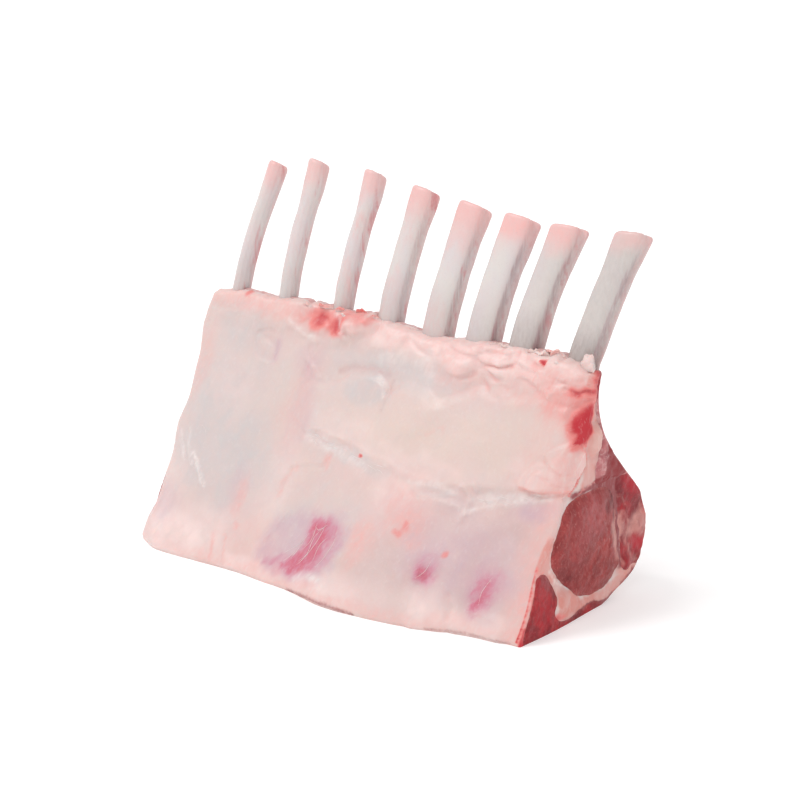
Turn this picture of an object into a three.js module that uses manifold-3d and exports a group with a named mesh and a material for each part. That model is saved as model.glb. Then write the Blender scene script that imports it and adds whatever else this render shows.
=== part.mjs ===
// Rack of lamb: a trimmed eight-rib rack that stands on its chine cut.
// X runs along the spine towards the larger cut face, Y from the fat cap to the bone side, Z up.
// Lengths are millimetres. Sections are drawn in Y and Z, from the front foot of the cap.
import * as THREE from "three";
import { mergeVertices } from "three/addons/utils/BufferGeometryUtils.js";
import Module from "manifold-3d";

const wasm = await Module();
wasm.setup();

const { clamp, lerp, smoothstep } = THREE.MathUtils;

// ---------------------------------------------------------------- driving dimensions
const LENGTH = 190; // from cut face to cut face
const MEAT_TOP = 98; // height where the ribs leave the meat
const LEAN = 0.475; // how far the cap leans back for each millimetre of height
const BELLY = 1.6; // how far the cap is drawn in halfway up
const GAP = 0.3; // clearance between neighbouring pieces
const PAST = 6; // how far a cutter runs past what it cuts
const CENTRE_X = 1.4; // middle of the whole box from the middle of the meat
const CENTRE_Y = 33.2; // middle of the whole depth, measured from the front foot
const EDGE_ROUND = 1.4; // rounding of the outer edge at both cut faces
const FOOT_LIP = 3; // how far the cap's lowest edge is drawn in
const FOOT_LIP_HEIGHT = 4;
const LAYER = 2.3; // thickness of the upper layer of fat
const LAYER_EDGE = 1.3; // half the height of the layer's lower edge
const RIM = 1.4; // how far the trimmed rim stands out
const SHOULDER = 1.5; // rounding where the cap and the bone side meet the top
const END_FLARE = 2.4; // how far the lower part of a cut face stands out
const SUNK = 2.2; // how much deeper the front muscle lies before it reaches the larger cut face

const RIB_COUNT = 8;
const RIB_TIP_Z = [145.5, 149, 149, 146.5, 144.4, 143.4, 143.4, 145.4]; // sawn tips, first rib to last
const RIB_BASE_X = [-85, -60.5, -32.3, -8, 15.6, 37.4, 57.6, 84.7]; // where each rib leaves the meat
const RIB_TIP_X = [-82.6, -62.6, -33.6, -7, 18.4, 41.5, 63.6, 92.2];
const RIB_WIDTH = [6.8, 7.4, 7.8, 10.5, 12.8, 14, 13.8, 13];
const RIB_THICKNESS = 6.4;
const RIB_TWIST = THREE.MathUtils.degToRad(8);
const RIB_HEIGHTS = [0, 10, 20, 31, 42, 52, 64, 80, 98, 112]; // sections of a rib up to just over the meat
const RIB_PROUD = 0.4; // how far the sawn rib ends stand out of the chine cut
const CHINE_TOP = 20; // height up to which the ribs are sawn off
const CHINE_OUTSIDE = 95; // how far out the chine cutter reaches
const CUTTER_BACK = 5; // how far a rib's cutter runs out of the bone side
const TIP_FALL = [0.16, 0.14, 0.14, 0.14, 0.14, 0.08, -0.05, -0.1]; // slope of each saw cut along X

const CAP_ROWS = 19; // rows up the cap
const BACK_HEIGHTS = [91, 84, 76, 68, 60, 52, 44, 36, 28, 19, 11, 5, 2, 0]; // rows down the bone side
const STATIONS = 34; // sections along the spine
const MUSCLE_STATIONS = 9;

// ---------------------------------------------------------------- curves
/** Value at u of a smooth curve through [u, value] knots, held level past both ends. */
function through(knots, u) {
  const last = knots.length - 1;
  if (u <= knots[0][0]) return knots[0][1];
  if (u >= knots[last][0]) return knots[last][1];
  let i = 0;
  while (u > knots[i + 1][0]) i += 1;
  const slope = (a, b) => (knots[b][1] - knots[a][1]) / (knots[b][0] - knots[a][0]);
  const span = knots[i + 1][0] - knots[i][0];
  const t = (u - knots[i][0]) / span;
  const startSlope = slope(Math.max(i - 1, 0), i + 1) * span;
  const endSlope = slope(i, Math.min(i + 2, last)) * span;
  const t2 = t * t;
  const t3 = t2 * t;
  const start = (2 * t3 - 3 * t2 + 1) * knots[i][1] + (t3 - 2 * t2 + t) * startSlope;
  const end = (3 * t2 - 2 * t3) * knots[i + 1][1] + (t3 - t2) * endSlope;
  return start + end;
}

// Height of the trimmed top edge along the rack.
const TOP_EDGE = [[-95, 96], [-71, 98], [-28, 99], [0, 98], [14, 96.4], [46, 99], [72, 100], [95, 97.5]];
// Y of the cap's lower edge on the table along the rack.
const CAP_FOOT = [[-95, -2], [-81, -9.5], [-48, -9], [-20, -12], [20, -18.5], [50, -14.5], [72, -7], [95, -6]];
// Lower edge of the thick upper layer of fat.
const STEP_LINE = [[-95, 56], [-30, 55], [10, 51], [30, 47], [52, 47.5], [80, 51], [95, 54]];
// Y of the bone side by height.
const BONE_SIDE = [
  [0, 52], [2, 60], [5, 68], [9, 75], [17, 80.5], [27, 82.5], [35, 80], [43, 75.6],
  [51, 68], [60, 60.5], [66, 57], [73, 53.5], [80, 51.5], [86, 51], [92, 51.8], [99, 53.5],
];
// Y of the middle of a rib by height, from the chine cut to the tip.
const RIB_LINE = [
  [0, 68], [11, 73], [20, 77], [31, 78], [43, 72.2], [51, 65], [60, 57.8],
  [66, 54.3], [73, 50.8], [82, 48.6], [90, 49], [98, 50.6], [113, 56], [129, 63.5], [150, 75],
];

const topEdge = (x) => through(TOP_EDGE, x);
const stepLine = (x) => through(STEP_LINE, x);

// ---------------------------------------------------------------- surface of the cap
/** Seeded draws between 0 and 1, the same on every run. */
function draws(seed) {
  let state = seed;
  return () => {
    state = (state * 16807) % 2147483647;
    return state / 2147483647;
  };
}

/** Lumps of fat scattered over a patch of the cap, each with x, z, radius and height. */
function lumps({ count, x, z, radius, height, seed }) {
  const next = draws(seed);
  const between = ([low, high]) => lerp(low, high, next());
  return Array.from({ length: count }, () => ({
    x: between(x),
    z: between(z),
    radius: between(radius),
    height: between(height),
  }));
}

const LUMPS = [
  ...lumps({ count: 22, x: [30, 94], z: [82, 97], radius: [4, 8], height: [0.8, 2], seed: 41 }),
  ...lumps({ count: 10, x: [-48, -12], z: [90, 99], radius: [4, 6], height: [0.8, 1.8], seed: 7 }),
  { x: 55, z: 11, radius: 9, height: 1.2 },
  { x: -6, z: 76, radius: 8, height: -1.2 },
  { x: 91, z: 76, radius: 6, height: -1.6 },
  { x: 92, z: 61, radius: 7, height: 1.8 },
];

/** Height of the cap's folds and lumps at a point, outwards. */
function relief(x, z) {
  const step = stepLine(x);
  const edge = smoothstep(z, step - LAYER_EDGE, step + LAYER_EDGE);
  const layer = LAYER * edge * (1 - 0.65 * smoothstep(z, 74, 82)) * smoothstep(x, -42, -20);
  const rim = RIM * smoothstep(z, 84, 91);
  const wave = 0.35 * Math.sin(x / 9 + z / 14) + 0.3 * Math.sin(x / 5.3 - z / 8);
  let sum = layer + rim + wave;
  for (const lump of LUMPS) {
    const far = ((x - lump.x) ** 2 + (z - lump.z) ** 2) / lump.radius ** 2;
    sum += lump.height * Math.exp(-2 * far);
  }
  return sum;
}

/** Swelling of the cap at a height: most at the table, none where the ribs leave the meat. */
function swelling(x, z) {
  return through(CAP_FOOT, x) * (1 - clamp(z / MEAT_TOP, 0, 1) ** 1.25);
}

/** Y of the outside of the cap. */
function capFront(x, z) {
  const drawnIn = BELLY * Math.sin(Math.PI * clamp(z / MEAT_TOP, 0, 1));
  const lip = FOOT_LIP * (1 - smoothstep(z, 0, FOOT_LIP_HEIGHT)) ** 2;
  return LEAN * z + drawnIn + swelling(x, z) + lip - relief(x, z);
}

/** Y of the bone side, drawn in near the two cut faces where no rib backs the meat. */
function boneSide(x, z) {
  const beyond = smoothstep(Math.abs(x), 84, 95);
  const slim = beyond * 2.6 * smoothstep(z, 52, 74);
  const narrow = 0.07 * (1 - smoothstep(x, -95, 60)) * (1 - smoothstep(z, 50, 75));
  return through(BONE_SIDE, z) * (1 - narrow) - slim + 0.25 * Math.sin(x / 6 + z / 9);
}

/** X of a point of a section, from 0 at the smaller cut face to 1 at the larger one. */
function alongSpine(t, y, z) {
  const waist = smoothstep(z, 55, 75) * (1 - smoothstep(z, 80, 95));
  const flare = END_FLARE * (0.55 * (1 - smoothstep(z, 2, 46)) + 0.5 * waist);
  const small = -LENGTH / 2 - flare;
  const domed = 1.2 * Math.exp(-(((y - 40) / 22) ** 2) - ((z - 30) / 22) ** 2);
  const large = LENGTH / 2 + domed + 0.6 * Math.sin(z / 7 + y / 11);
  return lerp(small - domed, large, t);
}

// ---------------------------------------------------------------- lofting
/** One closed body through stations that each hold a flat outline and a rule that places it. */
function loft(stations) {
  const count = stations[0].outline.length;
  const positions = [];
  for (const { outline, place } of stations) {
    for (const point of outline) positions.push(...place(point).toArray());
  }
  const index = [];
  for (let i = 0; i < stations.length - 1; i += 1) {
    for (let j = 0; j < count; j += 1) {
      const next = (j + 1) % count;
      const a = i * count + j;
      const b = i * count + next;
      const c = b + count;
      const d = a + count;
      index.push(a, b, d, b, c, d);
    }
  }
  const last = (stations.length - 1) * count;
  const capOf = (station) => THREE.ShapeUtils.triangulateShape(station.outline, []);
  for (const [a, b, c] of capOf(stations[0])) index.push(a, c, b);
  for (const [a, b, c] of capOf(stations.at(-1))) index.push(last + a, last + b, last + c);
  const geometry = new THREE.BufferGeometry();
  geometry.setAttribute("position", new THREE.Float32BufferAttribute(positions, 3));
  geometry.setIndex(index);
  return geometry;
}

/** The outline turned anticlockwise, as the loft needs it. */
function anticlockwise(outline) {
  return THREE.ShapeUtils.isClockWise(outline) ? outline.reverse() : outline;
}

/** The outline moved outwards by a distance, or inwards by a negative one. */
function offset(outline, distance) {
  const count = outline.length;
  return outline.map((point, i) => {
    const before = outline[(i + count - 1) % count];
    const after = outline[(i + 1) % count];
    const along = new THREE.Vector2().subVectors(after, before).normalize();
    return new THREE.Vector2(point.x + along.y * distance, point.y - along.x * distance);
  });
}

/** A manifold solid of a closed geometry. */
function solid(geometry) {
  const bare = mergeVertices(geometry, 1e-4);
  const mesh = new wasm.Mesh({
    numProp: 3,
    vertProperties: new Float32Array(bare.attributes.position.array),
    triVerts: new Uint32Array(bare.index.array),
  });
  return new wasm.Manifold(mesh);
}

// ---------------------------------------------------------------- whole outline of the meat
/** Outline of the meat at a place along the rack: up the cap, over the top, down the bone side. */
function meatOutline(x) {
  const top = topEdge(x);
  const outline = [];
  const step = stepLine(x);
  const lowRows = Math.round(CAP_ROWS / 2);
  for (let i = 0; i < CAP_ROWS; i += 1) {
    const z = i < lowRows
      ? lerp(0, step - LAYER_EDGE, (i / (lowRows - 1)) ** 1.15)
      : lerp(step + LAYER_EDGE, top - SHOULDER, (i - lowRows) / (CAP_ROWS - 1 - lowRows));
    outline.push(new THREE.Vector2(capFront(x, z), z));
  }
  const front = outline.at(-1).x;
  const back = boneSide(x, top - SHOULDER);
  outline.push(new THREE.Vector2(lerp(front, back, 0.3), top));
  outline.push(new THREE.Vector2(lerp(front, back, 0.75), top));
  for (const z of [top - SHOULDER, ...BACK_HEIGHTS]) {
    outline.push(new THREE.Vector2(boneSide(x, z), z));
  }
  return anticlockwise(outline);
}

/** The whole block of meat and fat, without the ribs. */
function meatBlock() {
  const stations = [];
  const edge = [
    [0, EDGE_ROUND],
    [0.004, 0.5],
    [0.014, 0.1],
  ];
  const inner = Array.from({ length: STATIONS }, (_, i) => [lerp(0.03, 0.97, i / (STATIONS - 1)), 0]);
  const far = edge.map(([t, inset]) => [1 - t, inset]).reverse();
  for (const [t, inset] of [...edge, ...inner, ...far]) {
    const x = lerp(-LENGTH / 2, LENGTH / 2, t);
    const full = meatOutline(x);
    const outline = offset(full, -inset);
    outline.forEach((point, i) => {
      if (full[i].y < FOOT_LIP) point.y = full[i].y;
    });
    stations.push({ outline, place: (p) => new THREE.Vector3(alongSpine(t, p.x, p.y), p.x, p.y) });
  }
  return solid(loft(stations));
}

// ---------------------------------------------------------------- muscles
/** A closed smooth outline through [y, z] corners. */
function muscleOutline(corners, points) {
  const knots = corners.map(([y, z]) => new THREE.Vector3(y, z, 0));
  const curve = new THREE.CatmullRomCurve3(knots, true, "centripetal");
  const outline = curve.getPoints(points).slice(0, points);
  return anticlockwise(outline.map((p) => new THREE.Vector2(p.x, p.y)));
}

/** How far forward the cap's swelling carries what lies just under it, at a point of a section. */
function carried(x, y, z) {
  const shallow = 1 - smoothstep(y, 5, 28);
  const deeper = SUNK * (1 - smoothstep(x, 0.43 * LENGTH, 0.49 * LENGTH));
  return (swelling(LENGTH / 2, z) - swelling(x, z) - deeper) * shallow;
}

const EYE = {
  corners: [
    [21.4, 47.8], [18.6, 40.5], [16.4, 34], [15.8, 28.6], [18.8, 23], [24, 17.6], [29.5, 12.4], [36, 8.4],
    [46, 6.9], [56, 9], [61.2, 14.6], [60.8, 21], [59, 29], [59.6, 36.5], [57.4, 44.6], [53, 48.6],
    [40, 49.9], [28, 49.6],
  ],
  points: 22,
  pivot: [42, 28],
  smallEnd: 0.82,
};
const FRONT_MUSCLE = {
  corners: [
    [-1.8, 1.6], [0.2, 8], [4.4, 16], [8.6, 24.4], [12.6, 24], [16.8, 19], [19.8, 13],
    [18.2, 7.2], [22, 3], [36, 2.6], [49, 2.5], [52, -4], [24, -5], [0, -4],
  ],
  points: 24,
  follows: true,
};
const BACK_MUSCLE = {
  corners: [
    [59.4, 49.8], [67, 50.2], [78, 49.2], [92, 42], [92, 26], [90, 10], [80, 8.5], [72, 11.8], [66.5, 10.6],
    [63.4, 13.4], [63, 20], [61.4, 28.5], [61.8, 36.5], [60.4, 43.5],
  ],
  points: 20,
};
const RIB_MUSCLE = {
  corners: [
    [50.2, 106], [48.6, 98], [46.8, 92], [46.2, 85], [46.8, 77], [48.2, 70], [46.8, 63], [45.4, 57],
    [46.8, 52.2], [58, 51.7], [68, 51.6], [84, 54], [76, 78], [68, 106],
  ],
  points: 22,
};

/** A muscle that runs the whole length, or its cutter when it is grown. */
function muscle({ corners, points, pivot, smallEnd, follows }, grown) {
  const outline = muscleOutline(corners, points);
  const steps = Array.from({ length: MUSCLE_STATIONS }, (_, i) => i / (MUSCLE_STATIONS - 1));
  const past = PAST / LENGTH;
  const stations = (grown > 0 ? [-past, ...steps, 1 + past] : steps).map((t) => {
    const within = clamp(t, 0, 1);
    const x = lerp(-LENGTH / 2, LENGTH / 2, within);
    const size = pivot ? lerp(smallEnd, 1, within) : 1;
    const placed = outline.map((p) => {
      const y = pivot ? pivot[0] + (p.x - pivot[0]) * size : p.x;
      const z = pivot ? pivot[1] + (p.y - pivot[1]) * size : p.y;
      return new THREE.Vector2(follows ? y - carried(x, y, z) : y, z);
    });
    const place = (p) => new THREE.Vector3(alongSpine(t, p.x, p.y), p.x, p.y);
    return { outline: offset(placed, grown), place };
  });
  return solid(loft(stations));
}

// ---------------------------------------------------------------- ribs
/** Section of a rib across its width (x) and thickness (y, to the bone side). */
function ribOutline(width, thickness, grown, backward) {
  const w = width / 2 + grown;
  const t = thickness / 2 + grown;
  const back = t + backward;
  const groove = grown > 0 ? 0 : 1;
  const points = [
    [-w, -t + 1.8], [-w + 1.6, -t], [0, -t - 0.4], [w - 0.8, -t], [w, -t + 1], [w - groove, 0.4],
    [w, back - 1.6], [w - 1.6, back], [0, back + 0.3], [-w + 1.6, back], [-w, back - 1.6],
  ];
  return anticlockwise(points.map(([x, y]) => new THREE.Vector2(x, y)));
}

/** One rib from below the chine cut to its sawn tip, or its cutter when it is grown. */
function ribBody(i, grown) {
  const cutter = grown > 0;
  const tip = RIB_TIP_Z[i];
  const heights = cutter ? RIB_HEIGHTS : [...RIB_HEIGHTS, 128, tip - 0.8, tip];
  const stations = heights.map((z, k) => {
    const line = (h) => new THREE.Vector3(
      through([[MEAT_TOP, RIB_BASE_X[i]], [RIB_TIP_Z[i], RIB_TIP_X[i]]], h),
      through(RIB_LINE, h),
      h,
    );
    const centre = line(z);
    const along = line(z + 1).sub(line(z - 1)).normalize();
    const back = new THREE.Vector3(0, along.z, -along.y).normalize();
    const turn = RIB_TWIST * smoothstep(z, MEAT_TOP - 20, MEAT_TOP + 10);
    const end = !cutter && k === heights.length - 1;
    const flare = 1 + 0.1 * smoothstep(z, 128, 146);
    const size = end ? flare - 0.1 : flare;
    const outline = ribOutline(RIB_WIDTH[i] * size, RIB_THICKNESS * size, grown, cutter ? CUTTER_BACK : 0);
    const slant = !cutter && k >= heights.length - 2 ? TIP_FALL[i] : 0;
    const place = (p) => {
      const x = p.x * Math.cos(turn) - p.y * Math.sin(turn);
      const y = p.x * Math.sin(turn) + p.y * Math.cos(turn);
      const point = centre.clone().addScaledVector(back, y).addScaledVector(along, -slant * p.x);
      point.x += x;
      return point;
    };
    return { outline, place };
  });
  return solid(loft(stations));
}

/** What lies outside the chine cut, where the lower ends of the ribs are sawn off. */
function belowChine() {
  const line = BONE_SIDE.filter(([z]) => z < CHINE_TOP).map(([z, y]) => [y + RIB_PROUD, z]);
  const corners = [
    [30, 0.2], ...line, [83, CHINE_TOP + 2], [CHINE_OUTSIDE, CHINE_TOP + 2], [CHINE_OUTSIDE, -CHINE_TOP],
    [30, -CHINE_TOP],
  ];
  const outline = anticlockwise(corners.map(([y, z]) => new THREE.Vector2(y, z)));
  const half = LENGTH / 2 + PAST;
  const place = (x) => (p) => new THREE.Vector3(x, p.x, p.y);
  return solid(loft([-half, half].map((x) => ({ outline, place: place(x) }))));
}

// ---------------------------------------------------------------- assembly
/** A named mesh of a solid with its own plain material. */
function piece(name, body, color, roughness) {
  const made = body.getMesh();
  const geometry = new THREE.BufferGeometry();
  geometry.setAttribute("position", new THREE.BufferAttribute(made.vertProperties.slice(), 3));
  geometry.setIndex(new THREE.BufferAttribute(made.triVerts.slice(), 1));
  geometry.computeVertexNormals();
  const material = new THREE.MeshStandardMaterial({ color, roughness, metalness: 0 });
  const mesh = new THREE.Mesh(geometry, material);
  mesh.name = name;
  return mesh;
}

/** The solid with every cutter taken away, without the loose scraps that a cut can leave. */
function without(body, cutters) {
  const left = cutters.reduce((rest, cutter) => rest.subtract(cutter), body);
  return left.decompose().sort((a, b) => b.volume() - a.volume())[0];
}

const ribNumbers = Array.from({ length: RIB_COUNT }, (_, i) => i);
const ribCutters = ribNumbers.map((i) => ribBody(i, GAP));
const block = meatBlock();
const chine = belowChine();

const eye = muscle(EYE, 0);
const frontMuscle = without(muscle(FRONT_MUSCLE, 0).intersect(block), []);
const backMuscle = without(muscle(BACK_MUSCLE, 0).intersect(block), ribCutters);
const ribMuscle = without(muscle(RIB_MUSCLE, 0).intersect(block), ribCutters);
const muscleCutters = [EYE, FRONT_MUSCLE, BACK_MUSCLE, RIB_MUSCLE].map((shape) => muscle(shape, GAP));
const fat = without(block, [...muscleCutters, ...ribCutters]);

const rack = new THREE.Group();
rack.name = "rack_of_lamb";
rack.position.set(-CENTRE_X, -CENTRE_Y, 0);
rack.add(
  piece("fat_cap", fat, 0xead2cb, 0.45),
  piece("eye_muscle", eye, 0x9d4a4a, 0.5),
  piece("front_muscle", frontMuscle, 0x9c3238, 0.5),
  piece("back_muscle", backMuscle, 0x9f3c41, 0.5),
  piece("rib_muscle", ribMuscle, 0xb06a6c, 0.5),
);
for (const i of ribNumbers) {
  rack.add(piece(`rib_${i + 1}`, ribBody(i, 0).subtract(chine), 0xdcd3cf, 0.45));
}

export default rack;
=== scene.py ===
"""Looks of a raw rack of lamb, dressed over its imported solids.

Shapes are drawn as in the part's source: x along the spine, y from the front foot of the cap to the
bone side and z up, in millimetres. A finished piece is moved into the frame, in metres.
"""

import logging
import math
from dataclasses import dataclass, field
from enum import Enum
from itertools import product
from typing import Iterator, Sequence

import bpy
import numpy as np
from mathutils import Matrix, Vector


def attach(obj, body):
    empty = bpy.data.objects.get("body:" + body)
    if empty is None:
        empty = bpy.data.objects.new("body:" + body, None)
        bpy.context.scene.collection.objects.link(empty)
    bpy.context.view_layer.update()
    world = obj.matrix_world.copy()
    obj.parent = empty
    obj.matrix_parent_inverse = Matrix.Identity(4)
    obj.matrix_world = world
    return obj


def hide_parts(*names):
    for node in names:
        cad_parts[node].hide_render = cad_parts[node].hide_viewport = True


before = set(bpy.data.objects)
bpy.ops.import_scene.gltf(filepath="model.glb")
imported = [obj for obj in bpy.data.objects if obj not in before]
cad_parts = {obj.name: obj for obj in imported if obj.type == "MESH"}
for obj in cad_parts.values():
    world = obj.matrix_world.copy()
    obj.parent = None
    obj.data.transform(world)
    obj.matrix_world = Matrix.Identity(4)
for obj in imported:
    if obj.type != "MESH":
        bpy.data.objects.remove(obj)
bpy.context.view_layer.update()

logging.basicConfig(level=logging.INFO, format="%(message)s")
LOG = logging.getLogger("rack of lamb")

MM = 0.001
Array = np.ndarray
Piece = bpy.types.Object
Socket = bpy.types.NodeSocket
Colour = tuple[float, float, float, float]
Pair = tuple[float, float]
Triple = tuple[float, float, float]
Row = tuple[float, ...]
Knots = tuple[Pair, ...]

GRID_PRIMES = (73856093, 19349663, 83492791)
HASH_ROUNDS = ((13, 1274126177), (16, 668265263))
LOW_BITS = 0x7FFFFFFF
OCTAVE_SEED = 31
TINY = 1e-9


# ---------------------------------------------------------------- numbers
def ease(value: Array, low: float, high: float) -> Array:
    """0 below low, 1 above high and a smooth step between them."""
    t = np.clip((np.asarray(value, float) - low) / (high - low), 0, 1)
    return t * t * (3 - 2 * t)


def between(first: Array, second: Array, share: Array) -> Array:
    """Straight blend of two values by a share from 0 to 1."""
    return first + (second - first) * share


def each(kind: type, *rows: Sequence) -> tuple:
    """One object of a kind from each row of its values."""
    return tuple(kind(*row) for row in rows)


def drawn_at(cells: Array, seed: int) -> Array:
    """A seeded draw for each cell of a grid, the same on every run.

    Args:
        cells: whole numbers, one row for each cell.
        seed: picks the draws.

    Returns:
        One value from -1 to 1 for each row.
    """
    key = np.full(len(cells), seed * 7919, np.int64)
    for axis in range(cells.shape[1]):
        key = (key ^ (cells[:, axis] * GRID_PRIMES[axis])) & LOW_BITS
    for shift, factor in HASH_ROUNDS:
        key = ((key ^ (key >> shift)) * factor) & LOW_BITS
    return key / (LOW_BITS // 2) - 1


def noise(points: Array, size: float, seed: int, octaves: int = 1) -> Array:
    """Smooth seeded noise.

    Args:
        points: places, one row each, with two or three columns.
        size: width of the largest features, in the points' own unit.
        seed: picks the pattern.
        octaves: how many finer layers are added.

    Returns:
        One value from about -1 to 1 for each place.
    """
    points = np.asarray(points, float)
    total = np.zeros(len(points))
    weight, weights = 1.0, 0.0
    for octave in range(octaves):
        scaled = points / size * 2**octave
        cell = np.floor(scaled).astype(np.int64)
        t = scaled - cell
        t = t * t * t * (t * (t * 6 - 15) + 10)
        layer = np.zeros(len(points))
        for corner in product((0, 1), repeat=points.shape[1]):
            share = np.ones(len(points))
            for axis, step in enumerate(corner):
                share = share * (t[:, axis] if step else 1 - t[:, axis])
            layer += share * drawn_at(cell + np.array(corner), seed + OCTAVE_SEED * octave)
        total += weight * layer
        weights += weight
        weight *= 0.5
    return total / weights


def noise_on(first: Array, second: Array, size: float, seed: int, octaves: int = 1) -> Array:
    """Smooth seeded noise over two coordinates.

    Args:
        first: first coordinate of each place.
        second: second coordinate of each place.
        size: width of the largest features.
        seed: picks the pattern.
        octaves: how many finer layers are added.

    Returns:
        One value from about -1 to 1, in the shape of the coordinates.
    """
    first, second = np.broadcast_arrays(first, second)
    flat = np.column_stack([first.ravel(), second.ravel()])
    return noise(flat, size, seed, octaves).reshape(first.shape)


def pillows(first: Array, second: Array, size: float, seed: int) -> Array:
    """Rounded lobes of different heights, pressed against each other.

    Args:
        first: first coordinate of each place.
        second: second coordinate of each place.
        size: width of a lobe.
        seed: picks the pattern.

    Returns:
        Height of the lobes, from about -0.6 in the joints to about 1.6.
    """
    first, second = np.broadcast_arrays(first, second)
    places = np.column_stack([first.ravel(), second.ravel()]) / size
    home = np.floor(places).astype(np.int64)
    nearest = np.full(len(places), np.inf)
    second_nearest = nearest.copy()
    level = np.zeros(len(places))
    for step in product((-1, 0, 1), repeat=2):
        cell = home + np.array(step)
        centre = cell + 0.5 + 0.42 * np.column_stack([drawn_at(cell, seed), drawn_at(cell, seed + 1)])
        far = np.linalg.norm(places - centre, axis=1)
        closer = far < nearest
        second_nearest = np.where(closer, nearest, np.minimum(second_nearest, far))
        level = np.where(closer, drawn_at(cell, seed + 2), level)
        nearest = np.where(closer, far, nearest)
    apart = second_nearest - nearest
    return (ease(apart, 0, 0.6) + 0.6 * level * ease(apart, 0, 0.25)).reshape(first.shape)


def far_from_line(first: Array, second: Array, line: Knots) -> Array:
    """Distance of places to a polyline.

    Args:
        first: first coordinate of each place.
        second: second coordinate of each place.
        line: the corners of the polyline.

    Returns:
        The distances, in the shape of the coordinates.
    """
    nearest = np.full(np.shape(first), np.inf)
    for (a0, b0), (a1, b1) in zip(line, line[1:]):
        along = (a1 - a0, b1 - b0)
        long = max(along[0] ** 2 + along[1] ** 2, TINY)
        t = np.clip(((first - a0) * along[0] + (second - b0) * along[1]) / long, 0, 1)
        nearest = np.minimum(nearest, np.hypot(first - a0 - t * along[0], second - b0 - t * along[1]))
    return nearest


def depth_inside(first: Array, second: Array, outline: Array) -> Array:
    """Depth of places inside a closed outline.

    Args:
        first: first coordinate of each place.
        second: second coordinate of each place.
        outline: corners of the outline, one row each.

    Returns:
        Distance to the outline, positive inside and negative outside.
    """
    closed = [tuple(p) for p in outline] + [tuple(outline[0])]
    inside = np.zeros(np.shape(first), bool)
    for (a0, b0), (a1, b1) in zip(closed, closed[1:]):
        crosses = (b0 > second) != (b1 > second)
        at = a0 + (second - b0) * (a1 - a0) / (b1 - b0 if b1 != b0 else TINY)
        inside ^= crosses & (first < at)
    return np.where(inside, 1, -1) * far_from_line(first, second, tuple(closed))


@dataclass(frozen=True)
class Curve:
    """A smooth line through knots, held level past both ends."""

    knots: Knots

    def at(self, place: Array) -> Array:
        """Values of the line at places along it.

        Args:
            place: where the line is read.

        Returns:
            One value for each place.
        """
        u, v = np.array(self.knots, float).T
        place = np.clip(place, u[0], u[-1])
        i = np.clip(np.searchsorted(u, place) - 1, 0, len(u) - 2)
        before, after = np.maximum(i - 1, 0), np.minimum(i + 2, len(u) - 1)
        span = u[i + 1] - u[i]
        t = (place - u[i]) / span
        start = (v[i + 1] - v[before]) / (u[i + 1] - u[before]) * span
        end = (v[after] - v[i]) / (u[after] - u[i]) * span
        t2, t3 = t * t, t * t * t
        low = (2 * t3 - 3 * t2 + 1) * v[i] + (t3 - 2 * t2 + t) * start
        return low + (3 * t2 - 2 * t3) * v[i + 1] + (t3 - t2) * end


def closed_curve(corners: Sequence[Sequence[float]], count: int) -> Array:
    """A smooth closed outline through corners, with knots spaced by the root of the distance.

    Args:
        corners: the corners, anticlockwise or clockwise.
        count: how many points the outline gets.

    Returns:
        The points, one row each.
    """
    knots = np.array(corners, float)
    n = len(knots)
    where = np.arange(count) * n / count
    i = np.floor(where).astype(int)
    w = (where - i)[:, None]
    p = [knots[(i + k - 1) % n] for k in range(4)]
    gap = [np.maximum(np.sqrt(np.linalg.norm(p[k + 1] - p[k], axis=1)), 1e-4)[:, None] for k in range(3)]
    start = (p[1] - p[0]) / gap[0] - (p[2] - p[0]) / (gap[0] + gap[1]) + (p[2] - p[1]) / gap[1]
    end = (p[2] - p[1]) / gap[1] - (p[3] - p[1]) / (gap[1] + gap[2]) + (p[3] - p[2]) / gap[2]
    start, end = start * gap[1], end * gap[1]
    rest = -3 * p[1] + 3 * p[2] - 2 * start - end
    return p[1] + start * w + rest * w**2 + (2 * p[1] - 2 * p[2] + start + end) * w**3


def rounded(corners: Knots) -> Array:
    """A smooth closed outline with four points for each corner."""
    return closed_curve(corners, 4 * len(corners))


def draws(seed: int) -> Iterator[float]:
    """Seeded draws, the same on every run.

    Args:
        seed: starts the draws.

    Returns:
        An endless run of values between 0 and 1.
    """
    factor, modulus = 16807, 2147483647
    state = seed
    while True:
        state = (state * factor) % modulus
        yield state / modulus


# ---------------------------------------------------------------- form of the meat
@dataclass(frozen=True)
class Lump:
    """A round lump or hollow on the cap."""

    x: float
    z: float
    radius: float
    height: float

    def at(self, x: Array, z: Array) -> Array:
        """Height of the lump at places on the cap."""
        return self.height * np.exp(-2 * ((x - self.x) ** 2 + (z - self.z) ** 2) / self.radius**2)


@dataclass(frozen=True)
class Fold:
    """A raised or sunken line on the cap."""

    line: Knots
    width: float
    height: float

    def at(self, x: Array, z: Array) -> Array:
        """Height of the fold at places on the cap."""
        return self.height * np.exp(-((far_from_line(x, z, self.line) / self.width) ** 2))


@dataclass(frozen=True)
class Shelf:
    """A raised or sunken area of the cap inside a closed outline."""

    corners: Knots
    height: float
    soft: float

    def at(self, x: Array, z: Array) -> Array:
        """Height of the area at places on the cap."""
        return self.height * ease(depth_inside(x, z, rounded(self.corners)), -self.soft, self.soft)


def lumps(count: int, ranges: Sequence[Pair], seed: int) -> tuple[Lump, ...]:
    """Lumps scattered by seeded draws, each x, z, radius and height drawn from its own range."""
    draw = draws(seed)
    return tuple(Lump(*(between(low, high, next(draw)) for low, high in ranges)) for _ in range(count))


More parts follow.
